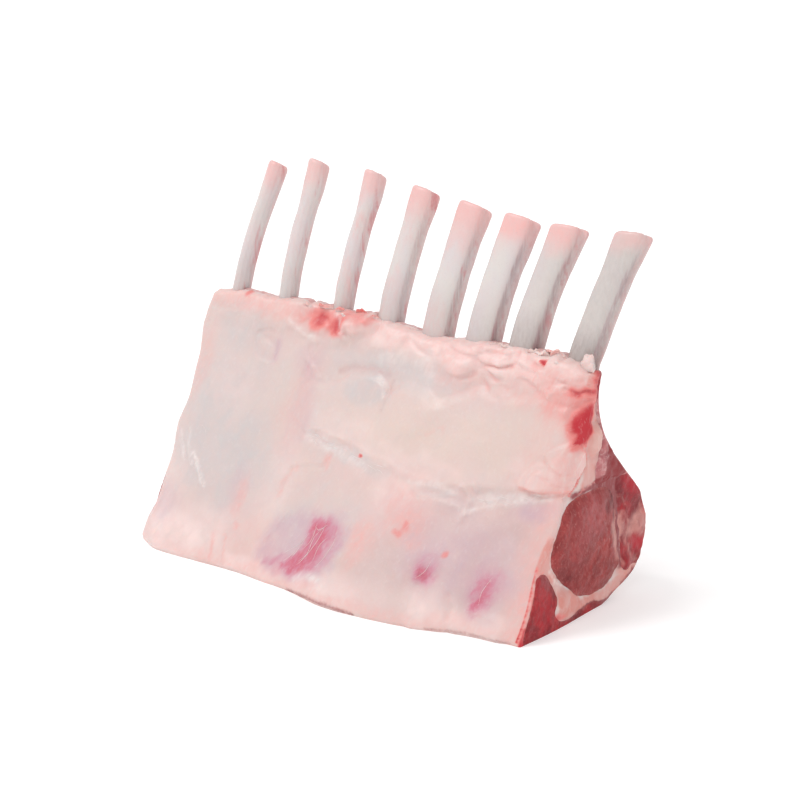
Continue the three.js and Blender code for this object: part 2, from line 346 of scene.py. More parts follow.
NECK_VEINS = (
    ((-92, 43), (-88, 38), (-84, 34)), ((-86, 45), (-83, 38), (-79, 33)), ((-80, 37), (-75, 33), (-69, 27)),
)
FRONT_SHELF = ((31, 46.4), (37, 49), (45, 48.4), (51, 47), (43, 44.6), (34, 44.4))
OVAL = ((-15, 73), (-14, 76.4), (-7, 79), (-1, 79), (4, 77), (4.4, 73), (1, 70), (-8, 69))


@dataclass(frozen=True)
class MeatForm:
    """The whole block of meat: its outline, its cut faces and the relief of its cap."""

    length: float = 190
    top: float = 98
    lean: float = 0.475
    belly: float = 1.6
    rounding: float = 1.4
    middle: Pair = (1.4, 33.2)
    front_rows: int = 170
    top_rows: int = 13
    back_rows: int = 92
    base_rows: int = 25
    top_edge: Curve = Curve(
        ((-95, 96), (-71, 98), (-28, 99), (0, 98), (14, 96.4), (46, 99), (72, 100), (95, 97.5))
    )
    foot: Curve = Curve(
        ((-95, -2), (-81, -9.5), (-48, -9), (-20, -12), (20, -18.5), (50, -14.5), (72, -7), (95, -6))
    )
    step: Curve = Curve(((-95, 56), (-30, 55), (10, 51), (30, 47), (52, 47.5), (80, 51), (95, 54)))
    lobes: Curve = Curve(
        ((-95, 72), (-34, 71), (-19, 74), (-13, 78.4), (-7, 80.2), (-1, 80), (3.6, 77.6), (6.4, 74),
         (10, 76.6), (15, 78), (24, 77.4), (31, 75.6), (37, 77.6), (46, 81.5), (60, 82), (78, 84), (95, 80))
    )
    bone_line: Curve = Curve(
        ((0, 52), (2, 60), (5, 68), (9, 75), (17, 80.5), (27, 82.5), (35, 80), (43, 75.6), (51, 68),
         (60, 60.5), (66, 57), (73, 53.5), (80, 51.5), (86, 51), (92, 51.8), (99, 53.5))
    )
    bumps: tuple[Lump, ...] = (
        *lumps(14, ((30, 94), (84, 97), (5, 9), (0.6, 1.4)), 41),
        *lumps(8, ((-48, -12), (92, 99), (4, 6), (0.6, 1.4)), 7),
        *lumps(24, ((-52, -8), (90, 100), (1.4, 3), (-0.4, 0.7)), 23),
        *lumps(24, ((20, 70), (40, 50), (2, 4.4), (-0.2, 0.35)), 29),
        *each(Lump, (88, 92, 8, 1.4), (78, 88, 7, 0.8), (-10, 62, 14, 0.7), (22, 64, 18, 0.8),
              (58, 60, 16, 0.8), (92, 61, 7, 1.2)),
    )
    shelves: tuple[Shelf, ...] = each(
        Shelf,
        (((8, 67), (8, 74), (14, 76.8), (24, 76.6), (31.4, 73.6), (30, 66), (16, 62)), 0.5, 2.6),
        (((87, 81), (95, 88), (102, 82), (102, 70), (96, 69), (92, 73.4)), -1.9, 0.9),
        (((75, 54), (80, 62), (89, 65), (93, 73.6), (98, 71), (104, 70), (104, 56), (95, 54.6), (84, 53)),
         0.9, 0.8),
        (((79, 53.4), (83, 60.6), (88, 58.4), (93, 56), (97, 55), (90, 52.8)), 0.9, 0.7),
        (((84, 66), (90, 62.4), (97, 59.6), (104, 60), (104, 70), (96, 70), (91, 71)), 0.8, 0.7),
        (((51, -4), (48.4, 9), (49.6, 15.6), (52.4, 17), (57.6, 14), (61, 11), (64, 4), (60, -4)), 1.2, 2.0),
        (((62, 11.4), (69, 10.4), (79, 9.2), (86, 7), (86, -4), (66, -4), (65, 5)), 0.9, 1.8),
        (FRONT_SHELF, 0.6, 0.6),
        (((-8, 5), (-4, 9.4), (3, 10), (5, 6), (0, 3)), 0.6, 0.8),
        (((-31, 99), (-24, 99), (-22, 93), (-26, 91)), 0.9, 0.6),
        (((-66, 84), (-58, 86), (-54, 80), (-56, 75), (-64, 76)), -0.5, 0.9),
        (((60, 99), (74, 98.6), (88, 97), (96, 93.4), (90, 92), (76, 94), (62, 95)), 0.8, 0.6),
        (((38, 99), (52, 99.6), (60, 96), (54, 92.6), (44, 93)), 0.7, 0.6),
    )
    folds: tuple[Fold, ...] = each(
        Fold,
        (((-61, 83), (-54, 80), (-55, 76)), 1.1, -0.5), (((-54, 91), (-46, 88), (-36, 86)), 1.2, 0.6),
        (((-38, 79), (-33, 76.5), (-30, 74)), 1.0, 0.6), (((-34, 77), (-35, 73)), 0.9, 0.5),
        (((-38, 83), (-36.6, 79), (-37.6, 73)), 1.5, -0.5),
        (((-22, 77.6), (-15, 80.8), (-5, 82.4), (3, 81.4), (10, 79.4)), 1.6, -0.4),
        (((5.6, 78), (6.2, 74), (6.4, 69)), 1.4, -0.35),
        (((-29, 41), (-22, 43), (-14, 44), (-12, 49)), 0.8, -0.45), (((-32, 31), (-29, 40)), 0.9, -0.4),
        (((53, 50.4), (56.6, 47), (56, 42), (55.6, 38.4)), 1.1, 0.9),
        (((57.4, 52), (58.6, 49.4)), 0.9, 0.7), (((36, 44), (48, 44), (54, 43)), 1.0, 0.5),
        (((57, 41), (67, 45.4), (77, 47.6), (89, 51)), 1.0, 0.5),
        (((60, 44.6), (70, 48.4), (82, 50.4)), 0.9, 0.4), (((46, 92), (52, 91.6), (58, 93)), 0.9, -0.9),
        (((60.6, 13), (63.4, 9), (63, 5)), 1.2, -0.8),
        (((85, 90), (89, 88.8), (93, 90), (98, 87.6)), 0.9, -1.1),
        (NECK_VEINS[0], 0.8, 0.35), (NECK_VEINS[1], 0.7, 0.3),
        (NECK_VEINS[2], 0.8, 0.5), (((-70, 92), (-66, 84), (-60, 78)), 1.2, 0.3),
        (((-57, 9), (-55, 2)), 0.7, -0.35), (((-50, 11), (-47, 2)), 0.7, -0.35),
        (((-24, 26), (-33, 12), (-30, 5)), 0.8, 0.3), (((10, 30), (6, 18), (2, 8)), 0.9, 0.3),
    )

    def oval(self, x: Array, z: Array) -> Array:
        """Height of the grey lobe above the slab, which has a border only above and at its right."""
        depth = depth_inside(x, z, closed_curve(OVAL, 60))
        return 0.3 * ease(depth, -0.5, 1.2) * ease(z - 0.25 * x, 70, 77)

    def relief(self, x: Array, z: Array) -> Array:
        """Height of the cap's layers, folds and lumps.

        Args:
            x: places along the spine.
            z: heights.

        Returns:
            How far the cap stands out at each place.
        """
        x, z = np.broadcast_arrays(np.asarray(x, float), np.asarray(z, float))
        over = z - self.step.at(x) - 1.1 * noise_on(x, z, 7, 3, 3)
        lobe = self.lobes.at(x) + 1.1 * noise_on(x, z, 8, 5, 2)
        lip = 3.2 + 0.8 * ease(x, 2, 22) * (1 - ease(x, 78, 86)) + 0.8 * noise_on(x, 0 * x, 16, 4)
        layer = 0.75 * ease(over, -0.7, lip) + 0.25 * ease(over, lip, 9)
        layer = layer * (1 - 0.65 * ease(z, lobe - 1.6, lobe + between(1.2, 3, ease(x, 4, 12))))
        total = 2.5 * layer * ease(x, -42, -20) + 1.4 * ease(z, 84, 91)
        total += 0.35 * np.sin(x / 9 + z / 14) + 0.3 * np.sin(x / 5.3 - z / 8)
        total += 0.35 * noise_on(x, z, 15, 11, 2) + 0.12 * noise_on(x, z, 4, 13, 2)
        lumpy = ease(z, 79, 88) * (0.3 + 0.7 * ease(x, 15, 50)) + 0.6 * ease(z, 88, 94) * ease(x, -54, -44)
        along = x / 2.1 + 2.2 * noise_on(x, z, 10, 16, 2)
        leaning = z + 0.12 * x + 2.6 * noise_on(x, z, 11, 26, 2)
        crumpled = 1.3 * pillows(along, leaning, 7.4, 17) + 0.35 * pillows(along, leaning, 3.9, 18)
        total += np.minimum(lumpy, 1) * (crumpled - 0.9)
        rags = np.exp(-((over / 3.4) ** 2)) * ease(x, -34, -28) * (1 - ease(x, 4, 12))
        total += rags * (0.3 * pillows(x / 1.4, z, 2.8, 24) - 0.15)
        total += self.oval(x, z)
        for form in (*self.bumps, *self.folds, *self.shelves):
            total += form.at(x, z)
        return total

    def crease_shade(self, x: Array, z: Array) -> Array:
        """Share of painted shade in the creases of the cap, from how deep places lie in them.

        Args:
            x: places along the spine.
            z: heights.

        Returns:
            0 on level ground and on crests, towards 1 of painted shade in creases.
        """
        reach = 2.0
        sides = ((reach, 0), (-reach, 0), (0, reach), (0, -reach))
        round_about = sum(self.relief(x + a, z + b) for a, b in sides) / len(sides)
        rosy = between(0.3, 1, ease(x, 30, 50) * ease(z, 48, 56))
        return rosy * ease(round_about - self.relief(x, z), 0.08, 0.8)

    def rolled_over(self, x: Array, z: Array) -> Array:
        """How far the upper layer is drawn in where it rolls round onto the larger cut face.

        Args:
            x: places along the spine.
            z: heights.

        Returns:
            How far each place lies behind the straight cap.
        """
        reach, past_face, deep = 9.0, 1.6, 6
        past = np.clip((x - self.length / 2 + reach) / (reach + past_face), 0, 1)
        return deep * (1 - np.sqrt(1 - 0.98 * past**2)) * ease(z, 50, 57) * (1 - ease(z, 88, 98))

    def swelling(self, x: Array, z: Array) -> Array:
        """How far the cap stands in front of its straight slope."""
        return self.foot.at(x) * (1 - np.clip(z / self.top, 0, 1) ** 1.25)

    def slope(self, x: Array, z: Array) -> Array:
        """Y of the outside of the cap without its relief."""
        drawn_in = self.belly * np.sin(np.pi * np.clip(z / self.top, 0, 1))
        return self.lean * z + drawn_in + self.swelling(x, z) + 1.8 * (1 - ease(z, 0, 3)) ** 2

    def cap_front(self, x: Array, z: Array) -> Array:
        """Y of the outside of the cap."""
        return self.slope(x, z) - self.relief(x, z)

    def bone_side(self, x: Array, z: Array) -> Array:
        """Y of the bone side, drawn in near the two cut faces where no rib backs the meat.

        Args:
            x: places along the spine.
            z: heights.

        Returns:
            Y of each place.
        """
        slim = ease(np.abs(x), 84, 95) * 2.6 * ease(z, 52, 74)
        narrow = 0.07 * (1 - ease(x, -95, 60)) * (1 - ease(z, 50, 75))
        fine = 0.35 * noise_on(x, z, 9, 37, 2) * ease(z, 2, 8)
        return self.bone_line.at(z) * (1 - narrow) - slim + 0.25 * np.sin(x / 6 + z / 9) + fine

    def along_spine(self, t: Array, y: Array, z: Array) -> Array:
        """X of a place of a section.

        Args:
            t: 0 at the smaller cut face, 1 at the larger one.
            y: place across.
            z: height.

        Returns:
            The place along the spine.
        """
        flare = 1.3 * (1 - ease(z, 2, 46)) + 1.2 * ease(z, 55, 75) * (1 - ease(z, 80, 95))
        domed = 1.2 * np.exp(-(((y - 40) / 22) ** 2) - ((z - 30) / 22) ** 2)
        small = -self.length / 2 - flare - domed - 0.7 * np.sin(z / 6.5 + 1) - 0.4 * np.sin(z / 3.1)
        large = self.length / 2 + domed + 0.6 * np.sin(z / 7 + y / 11)
        return between(small, large, t)

    def outlines(self, x: Array) -> Array:
        """Outlines of the meat at places along the spine: up the cap, over the top, down, and back.

        Args:
            x: places along the spine.

        Returns:
            Y and z of each point, by place and by point.
        """
        x = np.asarray(x, float)[:, None]
        crest = self.top_edge.at(x) + 0.7 * noise_on(x, x * 0, 5, 43, 2)
        torn = ease(x, -52, -46) * (1 - ease(x, -8, -2)) + ease(x, 58, 64)
        crest = crest + 1.3 * torn * noise_on(x, x * 0, 3.6, 44, 2)
        shoulder = 1.5
        z = np.linspace(0, 1, self.front_rows)[None, :] * (crest - shoulder)
        front = np.stack([self.cap_front(x, z), z], -1)
        u = np.linspace(0, 1, self.top_rows + 2)[None, 1:-1]
        back_y = self.bone_side(x, crest - shoulder)
        top_z = crest - shoulder + shoulder * np.sin(np.pi * u) ** 0.5
        top_y = between(front[:, -1:, 0], back_y, u)
        top_z = top_z + 0.5 * noise_on(x + 0 * top_y, top_y, 3, 47, 2) * np.sin(np.pi * u)
        heights = np.linspace(0, self.top, 400)
        steps = np.hypot(np.diff(heights), np.diff(self.bone_line.at(heights)))
        run = np.concatenate([[0], np.cumsum(steps)])
        fall = np.interp(np.linspace(1, 0, self.back_rows) * run[-1], run, heights)[None, :] / self.top
        z = fall * (crest - shoulder)
        back = np.stack([self.bone_side(x, z), z], -1)
        u = np.linspace(0, 1, self.base_rows + 2)[None, 1:-1]
        base_y = between(back[:, -1:, 0], front[:, :1, 0], u)
        top = np.stack([top_y, top_z], -1)
        base = np.stack([base_y, 0 * base_y], -1)
        return np.concatenate([front, top, back, base], 1)


FORM = MeatForm()


@dataclass(frozen=True)
class Muscle:
    """A muscle that runs the whole length of the rack."""

    name: str
    corners: Knots
    pivot: Pair | None = None
    small_end: float = 1
    follows: bool = False
    sunk: float = 2.2
    ragged: float = 0.5

    def outline(self, t: float, count: int = 168) -> Array:
        """Outline of the muscle at a share of the length.

        Args:
            t: 0 at the smaller cut face, 1 at the larger one.
            count: how many points.

        Returns:
            Y and z of each point.
        """
        within = min(max(t, 0), 1)
        points = closed_curve(self.corners, count)
        if self.pivot:
            size = between(self.small_end, 1, within)
            points = np.array(self.pivot) + (points - np.array(self.pivot)) * size
        y, z = points.T
        if self.follows:
            x = between(-FORM.length / 2, FORM.length / 2, within)
            deeper = self.sunk * (1 - ease(within, 0.93, 0.99))
            carried = FORM.swelling(FORM.length / 2, z) - FORM.swelling(x, z) - deeper
            y = y - carried * (1 - ease(y, 5, 28))
        along = np.roll(points, -1, 0) - np.roll(points, 1, 0)
        along /= np.linalg.norm(along, axis=1)[:, None]
        proud = self.ragged * noise(points, 4, 53, 3)
        return np.column_stack([y + along[:, 1] * proud, z - along[:, 0] * proud])


EYE = Muscle(
    "eye_muscle",
    ((23.6, 46.6), (19, 40.5), (16.4, 34), (15.8, 28.6), (18.8, 23), (24, 17.6), (29.5, 12.4), (36, 8.4),
     (46, 6.9), (56, 9), (61.2, 14.6), (60.8, 21), (59, 29), (59.6, 36.5), (57.4, 44.6), (53, 48.6),
     (40, 49.9), (30, 49.4)),
    pivot=(42, 28),
    small_end=0.82,
)
FRONT = Muscle(
    "front_muscle",
    ((-1.8, 1.6), (0.2, 8), (4.4, 16), (8.6, 24.6), (12.8, 24.2), (17, 19.2), (20, 13), (18.4, 7.2),
     (22, 2.9), (36, 2.5), (49, 2.4), (52, -4), (24, -5), (0, -4)),
    follows=True,
    ragged=0.15,
)
BACK = Muscle(
    "back_muscle",
    ((59, 50.2), (67, 50.6), (78, 49.6), (92, 42), (92, 26), (90, 10), (80, 8.2), (72, 11.6), (66.5, 10.4),
     (63, 13.2), (62.6, 20), (61, 28.5), (61.4, 36.5), (60, 43.5)),
)
RIB_MEAT = Muscle(
    "rib_muscle",
    ((50.2, 106), (48.6, 98), (46.8, 92), (46.2, 85), (46.8, 77), (48.2, 70), (46.8, 63), (45.4, 57),
     (46.8, 51.8), (58, 51.4), (68, 51.4), (84, 54), (76, 78), (68, 106)),
)
MUSCLES = (EYE, FRONT, BACK, RIB_MEAT)


OVERHANG = ((10, 56), (20, 53), (28.3, 53.6), (33, 57.4), (36.6, 60.6), (37.4, 64), (35.7, 69.5),
            (30.4, 71.6), (26.8, 78.7), (18, 80), (8, 70))
CREAM_LOBE = ((40.6, 75), (44, 76.4), (47.5, 74.6), (48, 67.6), (45.4, 64.2), (42.4, 64), (40.1, 67.4))
GREY_LUMP = ((41, 80), (43.4, 84), (47.6, 85), (48.5, 77.4), (44.6, 76.8), (41, 77.6))
NODULES = ((28, 8.5, 6.5, 1.5), (22, 10, 4, 0.7), (52, 5, 6, 0.6), (62, 28, 3, 0.7), (66, 12, 4, 0.8),
           (76, 26, 4, 0.8), (72, 42, 5, 0.6))
BULGES = ((EYE, 0.9), (FRONT, 0.2), (BACK, 0.5), (RIB_MEAT, 0.2))


def lean_meets(y: Array, z: Array) -> Array:
    """Share of the place on a cut face where the eye grows into the muscle behind it."""
    return ease(y, 50, 55) * ease(z, 20, 27) * (1 - ease(y, 66, 70))


def end_relief(y: Array, z: Array, seed: int, large: bool) -> Array:
    """Unevenness of a cut face, outwards: muscles that bulge, seams between them, fat that stands proud.

    Args:
        y: places across.
        z: heights.
        seed: picks the pattern of this face.
        large: whether this is the larger cut face, where the cap hangs over.

    Returns:
        How far the face stands out at each place.
    """
    total = 0.5 * noise_on(y, z, 9, seed, 2) + 0.22 * noise_on(y, z, 2.6, seed + 1, 2)
    for muscle, bulge in BULGES:
        depth = depth_inside(y, z, muscle.outline(1))
        groove = 0.35 * np.exp(-((depth / 0.8) ** 2))
        total += bulge * ease(depth, 0, 5) - groove * (1 - 0.8 * lean_meets(y, z))
    for at_y, at_z, radius, height in NODULES:
        total += height * np.exp(-(((y - at_y) ** 2 + (z - at_z) ** 2) / radius**2) ** 2)
    if large:
        hanging = depth_inside(y, z, closed_curve(OVERHANG, 60))
        total += 1.7 * ease(hanging, -0.3, 1.6) - 0.8 * np.exp(-(((hanging + 0.9) / 0.9) ** 2))
        lobe = depth_inside(y, z, closed_curve(CREAM_LOBE, 40))
        total += 1.4 * ease(lobe, -0.3, 2.4) - 0.4 * np.exp(-(((lobe + 0.6) / 0.7) ** 2))
        total -= 0.6 * ease(depth_inside(y, z, closed_curve(GREY_LUMP, 40)), -0.5, 0.8)
    total += 0.14 * noise_on(y, z, 1.3, seed + 2)
    return total * ease(z, 0.3, 3)


# ---------------------------------------------------------------- work on meshes
STRAIGHT = 1e-6


class Cut(Enum):
    """What a cutter does to a piece."""

    KEEP = "INTERSECT"
    REMOVE = "DIFFERENCE"


class Axis(Enum):
    """An axis of a primitive."""

    X = 0
    Y = 1
    Z = 2


def only(*chosen: Piece) -> None:
    """Selects these objects alone and makes the first the active one.

    Args:
        chosen: the objects.
    """
    bpy.ops.object.select_all(action="DESELECT")
    for one in chosen:
        one.select_set(True)
    bpy.context.view_layer.objects.active = chosen[0]


def corners_of(piece: Piece, what: str = "co") -> Array:
    """Places of a mesh's vertices.

    Args:
        piece: the mesh object.
        what: "co" for the places, "normal" for the normals.

    Returns:
        One row for each vertex.
    """
    flat = np.empty(len(piece.data.vertices) * 3, np.float64)
    piece.data.vertices.foreach_get(what, flat)
    return flat.reshape(-1, 3)


def move_corners(piece: Piece, places: Array) -> None:
    """Puts a mesh's vertices at new places."""
    piece.data.vertices.foreach_set("co", np.asarray(places, np.float32).ravel())
    piece.data.update()


def divide(piece: Piece, axis: Axis, parts: Sequence[int]) -> None:
    """Divides every edge that runs along an axis.

    Args:
        piece: the mesh object.
        axis: the direction of the edges.
        parts: how many parts in each round; the rounds multiply.
    """
    for count in parts:
        mesh = piece.data
        ends = np.empty(len(mesh.edges) * 2, np.int32)
        mesh.edges.foreach_get("vertices", ends)
        places = corners_of(piece)
        run = np.abs(places[ends[1::2]] - places[ends[::2]])
        across = np.delete(run, axis.value, axis=1).max(axis=1)
        mesh.polygons.foreach_set("select", np.zeros(len(mesh.polygons), bool))
        mesh.vertices.foreach_set("select", np.zeros(len(mesh.vertices), bool))
        mesh.edges.foreach_set("select", across < STRAIGHT)
        only(piece)
        bpy.context.tool_settings.mesh_select_mode = (False, True, False)
        bpy.ops.object.mode_set(mode="EDIT")
        bpy.ops.mesh.subdivide(number_cuts=count - 1)
        bpy.ops.object.mode_set(mode="OBJECT")


def face_outwards(piece: Piece) -> None:
    """Turns every face of a closed mesh outwards.

    Args:
        piece: the mesh object.
    """
    only(piece)
    bpy.ops.object.mode_set(mode="EDIT")
    bpy.ops.mesh.select_all(action="SELECT")
    bpy.ops.mesh.normals_make_consistent(inside=False)
    bpy.ops.object.mode_set(mode="OBJECT")


def add_tube(name: str, rings: Array, parts: Sequence[int]) -> Piece:
    """A closed tube shaped from a cylinder.

    Args:
        name: name of the object.
        rings: places by ring, by point and by coordinate, in millimetres.
        parts: rounds of division along the tube, which multiply to the rings less one.

    Returns:
        The new object.
    """
    count, around = rings.shape[:2]
    bpy.ops.object.select_all(action="DESELECT")
    bpy.ops.mesh.primitive_cylinder_add(vertices=around, radius=1, depth=2, end_fill_type="NGON")
    tube = bpy.context.object
    tube.name = tube.data.name = name
    divide(tube, Axis.Z, parts)
    at = corners_of(tube)
    ring = np.rint((at[:, 2] + 1) / 2 * (count - 1)).astype(int)
    point = np.rint(np.arctan2(at[:, 0], at[:, 1]) / (2 * np.pi) * around).astype(int) % around
    move_corners(tube, rings[ring, point])
    face_outwards(tube)
    return tube


def add_slab(
    name: str, low: Sequence[float], high: Sequence[float], parts: Sequence[Sequence[int]]
) -> Piece:
    """A block with its edges divided.

    Args:
        name: name of the object.
        low: lowest corner.
        high: highest corner.
        parts: rounds of division for each axis.

    Returns:
        The new object.
    """
    bpy.ops.object.select_all(action="DESELECT")
    bpy.ops.mesh.primitive_cube_add(size=1)
    slab = bpy.context.object
    slab.name = slab.data.name = name
    for axis, rounds in zip(Axis, parts):
        divide(slab, axis, rounds)
    move_corners(slab, between(np.array(low, float), np.array(high, float), corners_of(slab) + 0.5))
    return slab


def copy_of(piece: Piece, name: str) -> Piece:
    """A copy of an object with its own mesh.

    Args:
        piece: the object.
        name: name of the copy.

    Returns:
        The copy.
    """
    twin = piece.copy()
    twin.data = piece.data.copy()
    twin.name = twin.data.name = name
    bpy.context.scene.collection.objects.link(twin)
    return twin


def cut(piece: Piece, tool: Piece, how: Cut) -> None:
    """Cuts a piece with another.

    Args:
        piece: what is cut.
        tool: the closed cutter, which stays.
        how: whether what lies in the cutter is kept or removed.
    """
    only(piece)
    bpy.ops.object.modifier_add(type="BOOLEAN")
    work = piece.modifiers[-1]
    work.object = tool
    work.operation = how.value
    work.solver = "MANIFOLD"
    bpy.ops.object.modifier_apply(modifier=work.name)


def joined(name: str, pieces: Sequence[Piece]) -> Piece:
    """Joins objects into the first one.

    Args:
        name: name of the joined object.
        pieces: the objects.

    Returns:
        The joined object.
    """
    only(*pieces)
    if len(pieces) > 1:
        bpy.ops.object.join()
    whole = bpy.context.object
    whole.name = whole.data.name = name
    return whole


def paint(piece: Piece, name: str, values: Array) -> None:
    """Keeps one value for each vertex as a named attribute."""
    layer = piece.data.attributes.new(name, "FLOAT", "POINT")
    layer.data.foreach_set("value", np.asarray(values, np.float32).ravel())


def into_frame(piece: Piece) -> None:
    """Moves a mesh drawn in section millimetres into the frame, in metres."""
    middle = np.array([*FORM.middle, 0])
    move_corners(piece, (corners_of(piece) - middle) * MM)


def smooth(piece: Piece, degrees: float) -> None:
    """Shades a piece smooth, apart from edges sharper than an angle."""
    only(piece)
    bpy.ops.object.shade_smooth_by_angle(angle=math.radians(degrees))


def hand_over(piece: Piece, finish: bpy.types.Material, sharp: float, node: str = "") -> None:
    """Moves a shaped and painted piece into the frame, and lets it ride with the rack.

    Args:
        piece: the piece, in section millimetres.
        finish: its material.
        sharp: edges sharper than this, in degrees, stay sharp.
        node: the node that it replaces, if it replaces one.
    """
    into_frame(piece)
    piece.data.materials.clear()
    piece.data.materials.append(finish)
    smooth(piece, sharp)
    if node:
        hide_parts(node)
    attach(piece, "root")
    LOG.info("%s: %d faces", piece.name, len(piece.data.polygons))


# ---------------------------------------------------------------- finishes
class Tint(Enum):
    """A named colouring that is painted on a piece."""

    BLUSH = "blush"
    HAZE = "haze"
    BRUISE = "bruise"
    BLOOD = "blood"
    GREY = "grey"
    CREAM = "cream"
    # Rosy fat, and painted shade in the creases under the flaps of the cap.
    ROSE = "rose"
    BRIGHT = "bright"
    # Whitish film and fibres, and a painted highlight on the grey oval's rim.
    WHITE = "white"
    # Darker fat and lean in places, and painted shade in some creases and crevices.
    DULL = "dull"
    LEAN = "lean"


def warped(first: Array, second: Array, reach: float, seed: int) -> tuple[Array, Array]:
    """Places of a face, shifted by noise, so that what is painted on them gets an uneven border.

    Args:
        first: first coordinate of each place.
        second: second coordinate of each place.
        reach: how far places are shifted.
        seed: picks the pattern.

    Returns:
        Both shifted coordinates.
    """
    size = 2.2 * reach
    return (
        first + reach * noise_on(first, second, size, seed, 2),
        second + reach * noise_on(first, second, size, seed + 9, 2),
    )


def own_seed(place: Pair, factors: tuple[int, int], start: int) -> int:
    """A seed worked out from a place, so that each mark has its own."""
    return int(abs(place[0] * factors[0] + place[1] * factors[1])) + start


@dataclass(frozen=True)
class Patch:
    """A soft oval patch of a tint on a face of the meat."""

    first: float
    second: float
    wide: float
    tall: float
    strength: float = 1
    warp: float = 3
    soft: float = 0.7
    turn: float = 0

    def at(self, first: Array, second: Array) -> Array:
        """Strength of the patch at places of its face.

        Args:
            first: first coordinate of each place.
            second: second coordinate of each place.

        Returns:
            A share from 0 to 1 for each place.
        """
        a, b = warped(first, second, self.warp, own_seed((self.first, self.second), (13, 7), 1))
        a, b = a - self.first, b - self.second
        cos, sin = math.cos(math.radians(self.turn)), math.sin(math.radians(self.turn))
        far = np.hypot((a * cos + b * sin) / self.wide, (b * cos - a * sin) / self.tall)
        return self.strength * (1 - ease(far, 1 - self.soft, 1 + self.soft))


@dataclass(frozen=True)
class Streak:
    """A soft line of a tint on a face of the meat."""

    line: Knots
    width: float
    strength: float = 1
    warp: float = 0.8

    def at(self, first: Array, second: Array) -> Array:
        """Strength of the line, from 0 to 1, at places of its face."""
        a, b = warped(first, second, self.warp, own_seed(self.line[0], (11, 5), 2))
        return self.strength * np.exp(-((far_from_line(a, b, self.line) / self.width) ** 2))


@dataclass(frozen=True)
class Area:
    """A tint inside a closed outline on a face of the meat."""

    corners: Knots
    strength: float = 1
    soft: float = 1
    warp: float = 1.5

    def at(self, first: Array, second: Array) -> Array:
        """Strength of the area, from 0 to 1, at places of its face."""
        a, b = warped(first, second, self.warp, own_seed(self.corners[0], (11, 5), 3))
        return self.strength * ease(depth_inside(a, b, rounded(self.corners)), -self.soft, self.soft)


Marks = dict[Tint, tuple[Patch | Streak | Area, ...]]


def painted(face: Marks, tint: Tint, first: Array, second: Array) -> Array:
    """Strength of one tint over all its marks on a face.

    Args:
        face: the marks of the face, by tint.
        tint: the tint that is read.
        first: first coordinate of each place.
        second: second coordinate of each place.

    Returns:
        A share from 0 to 1 for each place.
    """
    clear = np.ones(np.shape(first))
    for mark in face.get(tint, ()):
        clear = clear * (1 - np.clip(mark.at(first, second), 0, 1))
    return 1 - clear


CORE = ((-9, 27), (-1, 29), (0.6, 23), (-1, 17), (-3, 10), (-10, 6.6), (-16, 8), (-15, 10.6), (-12, 15),
        (-11, 20))

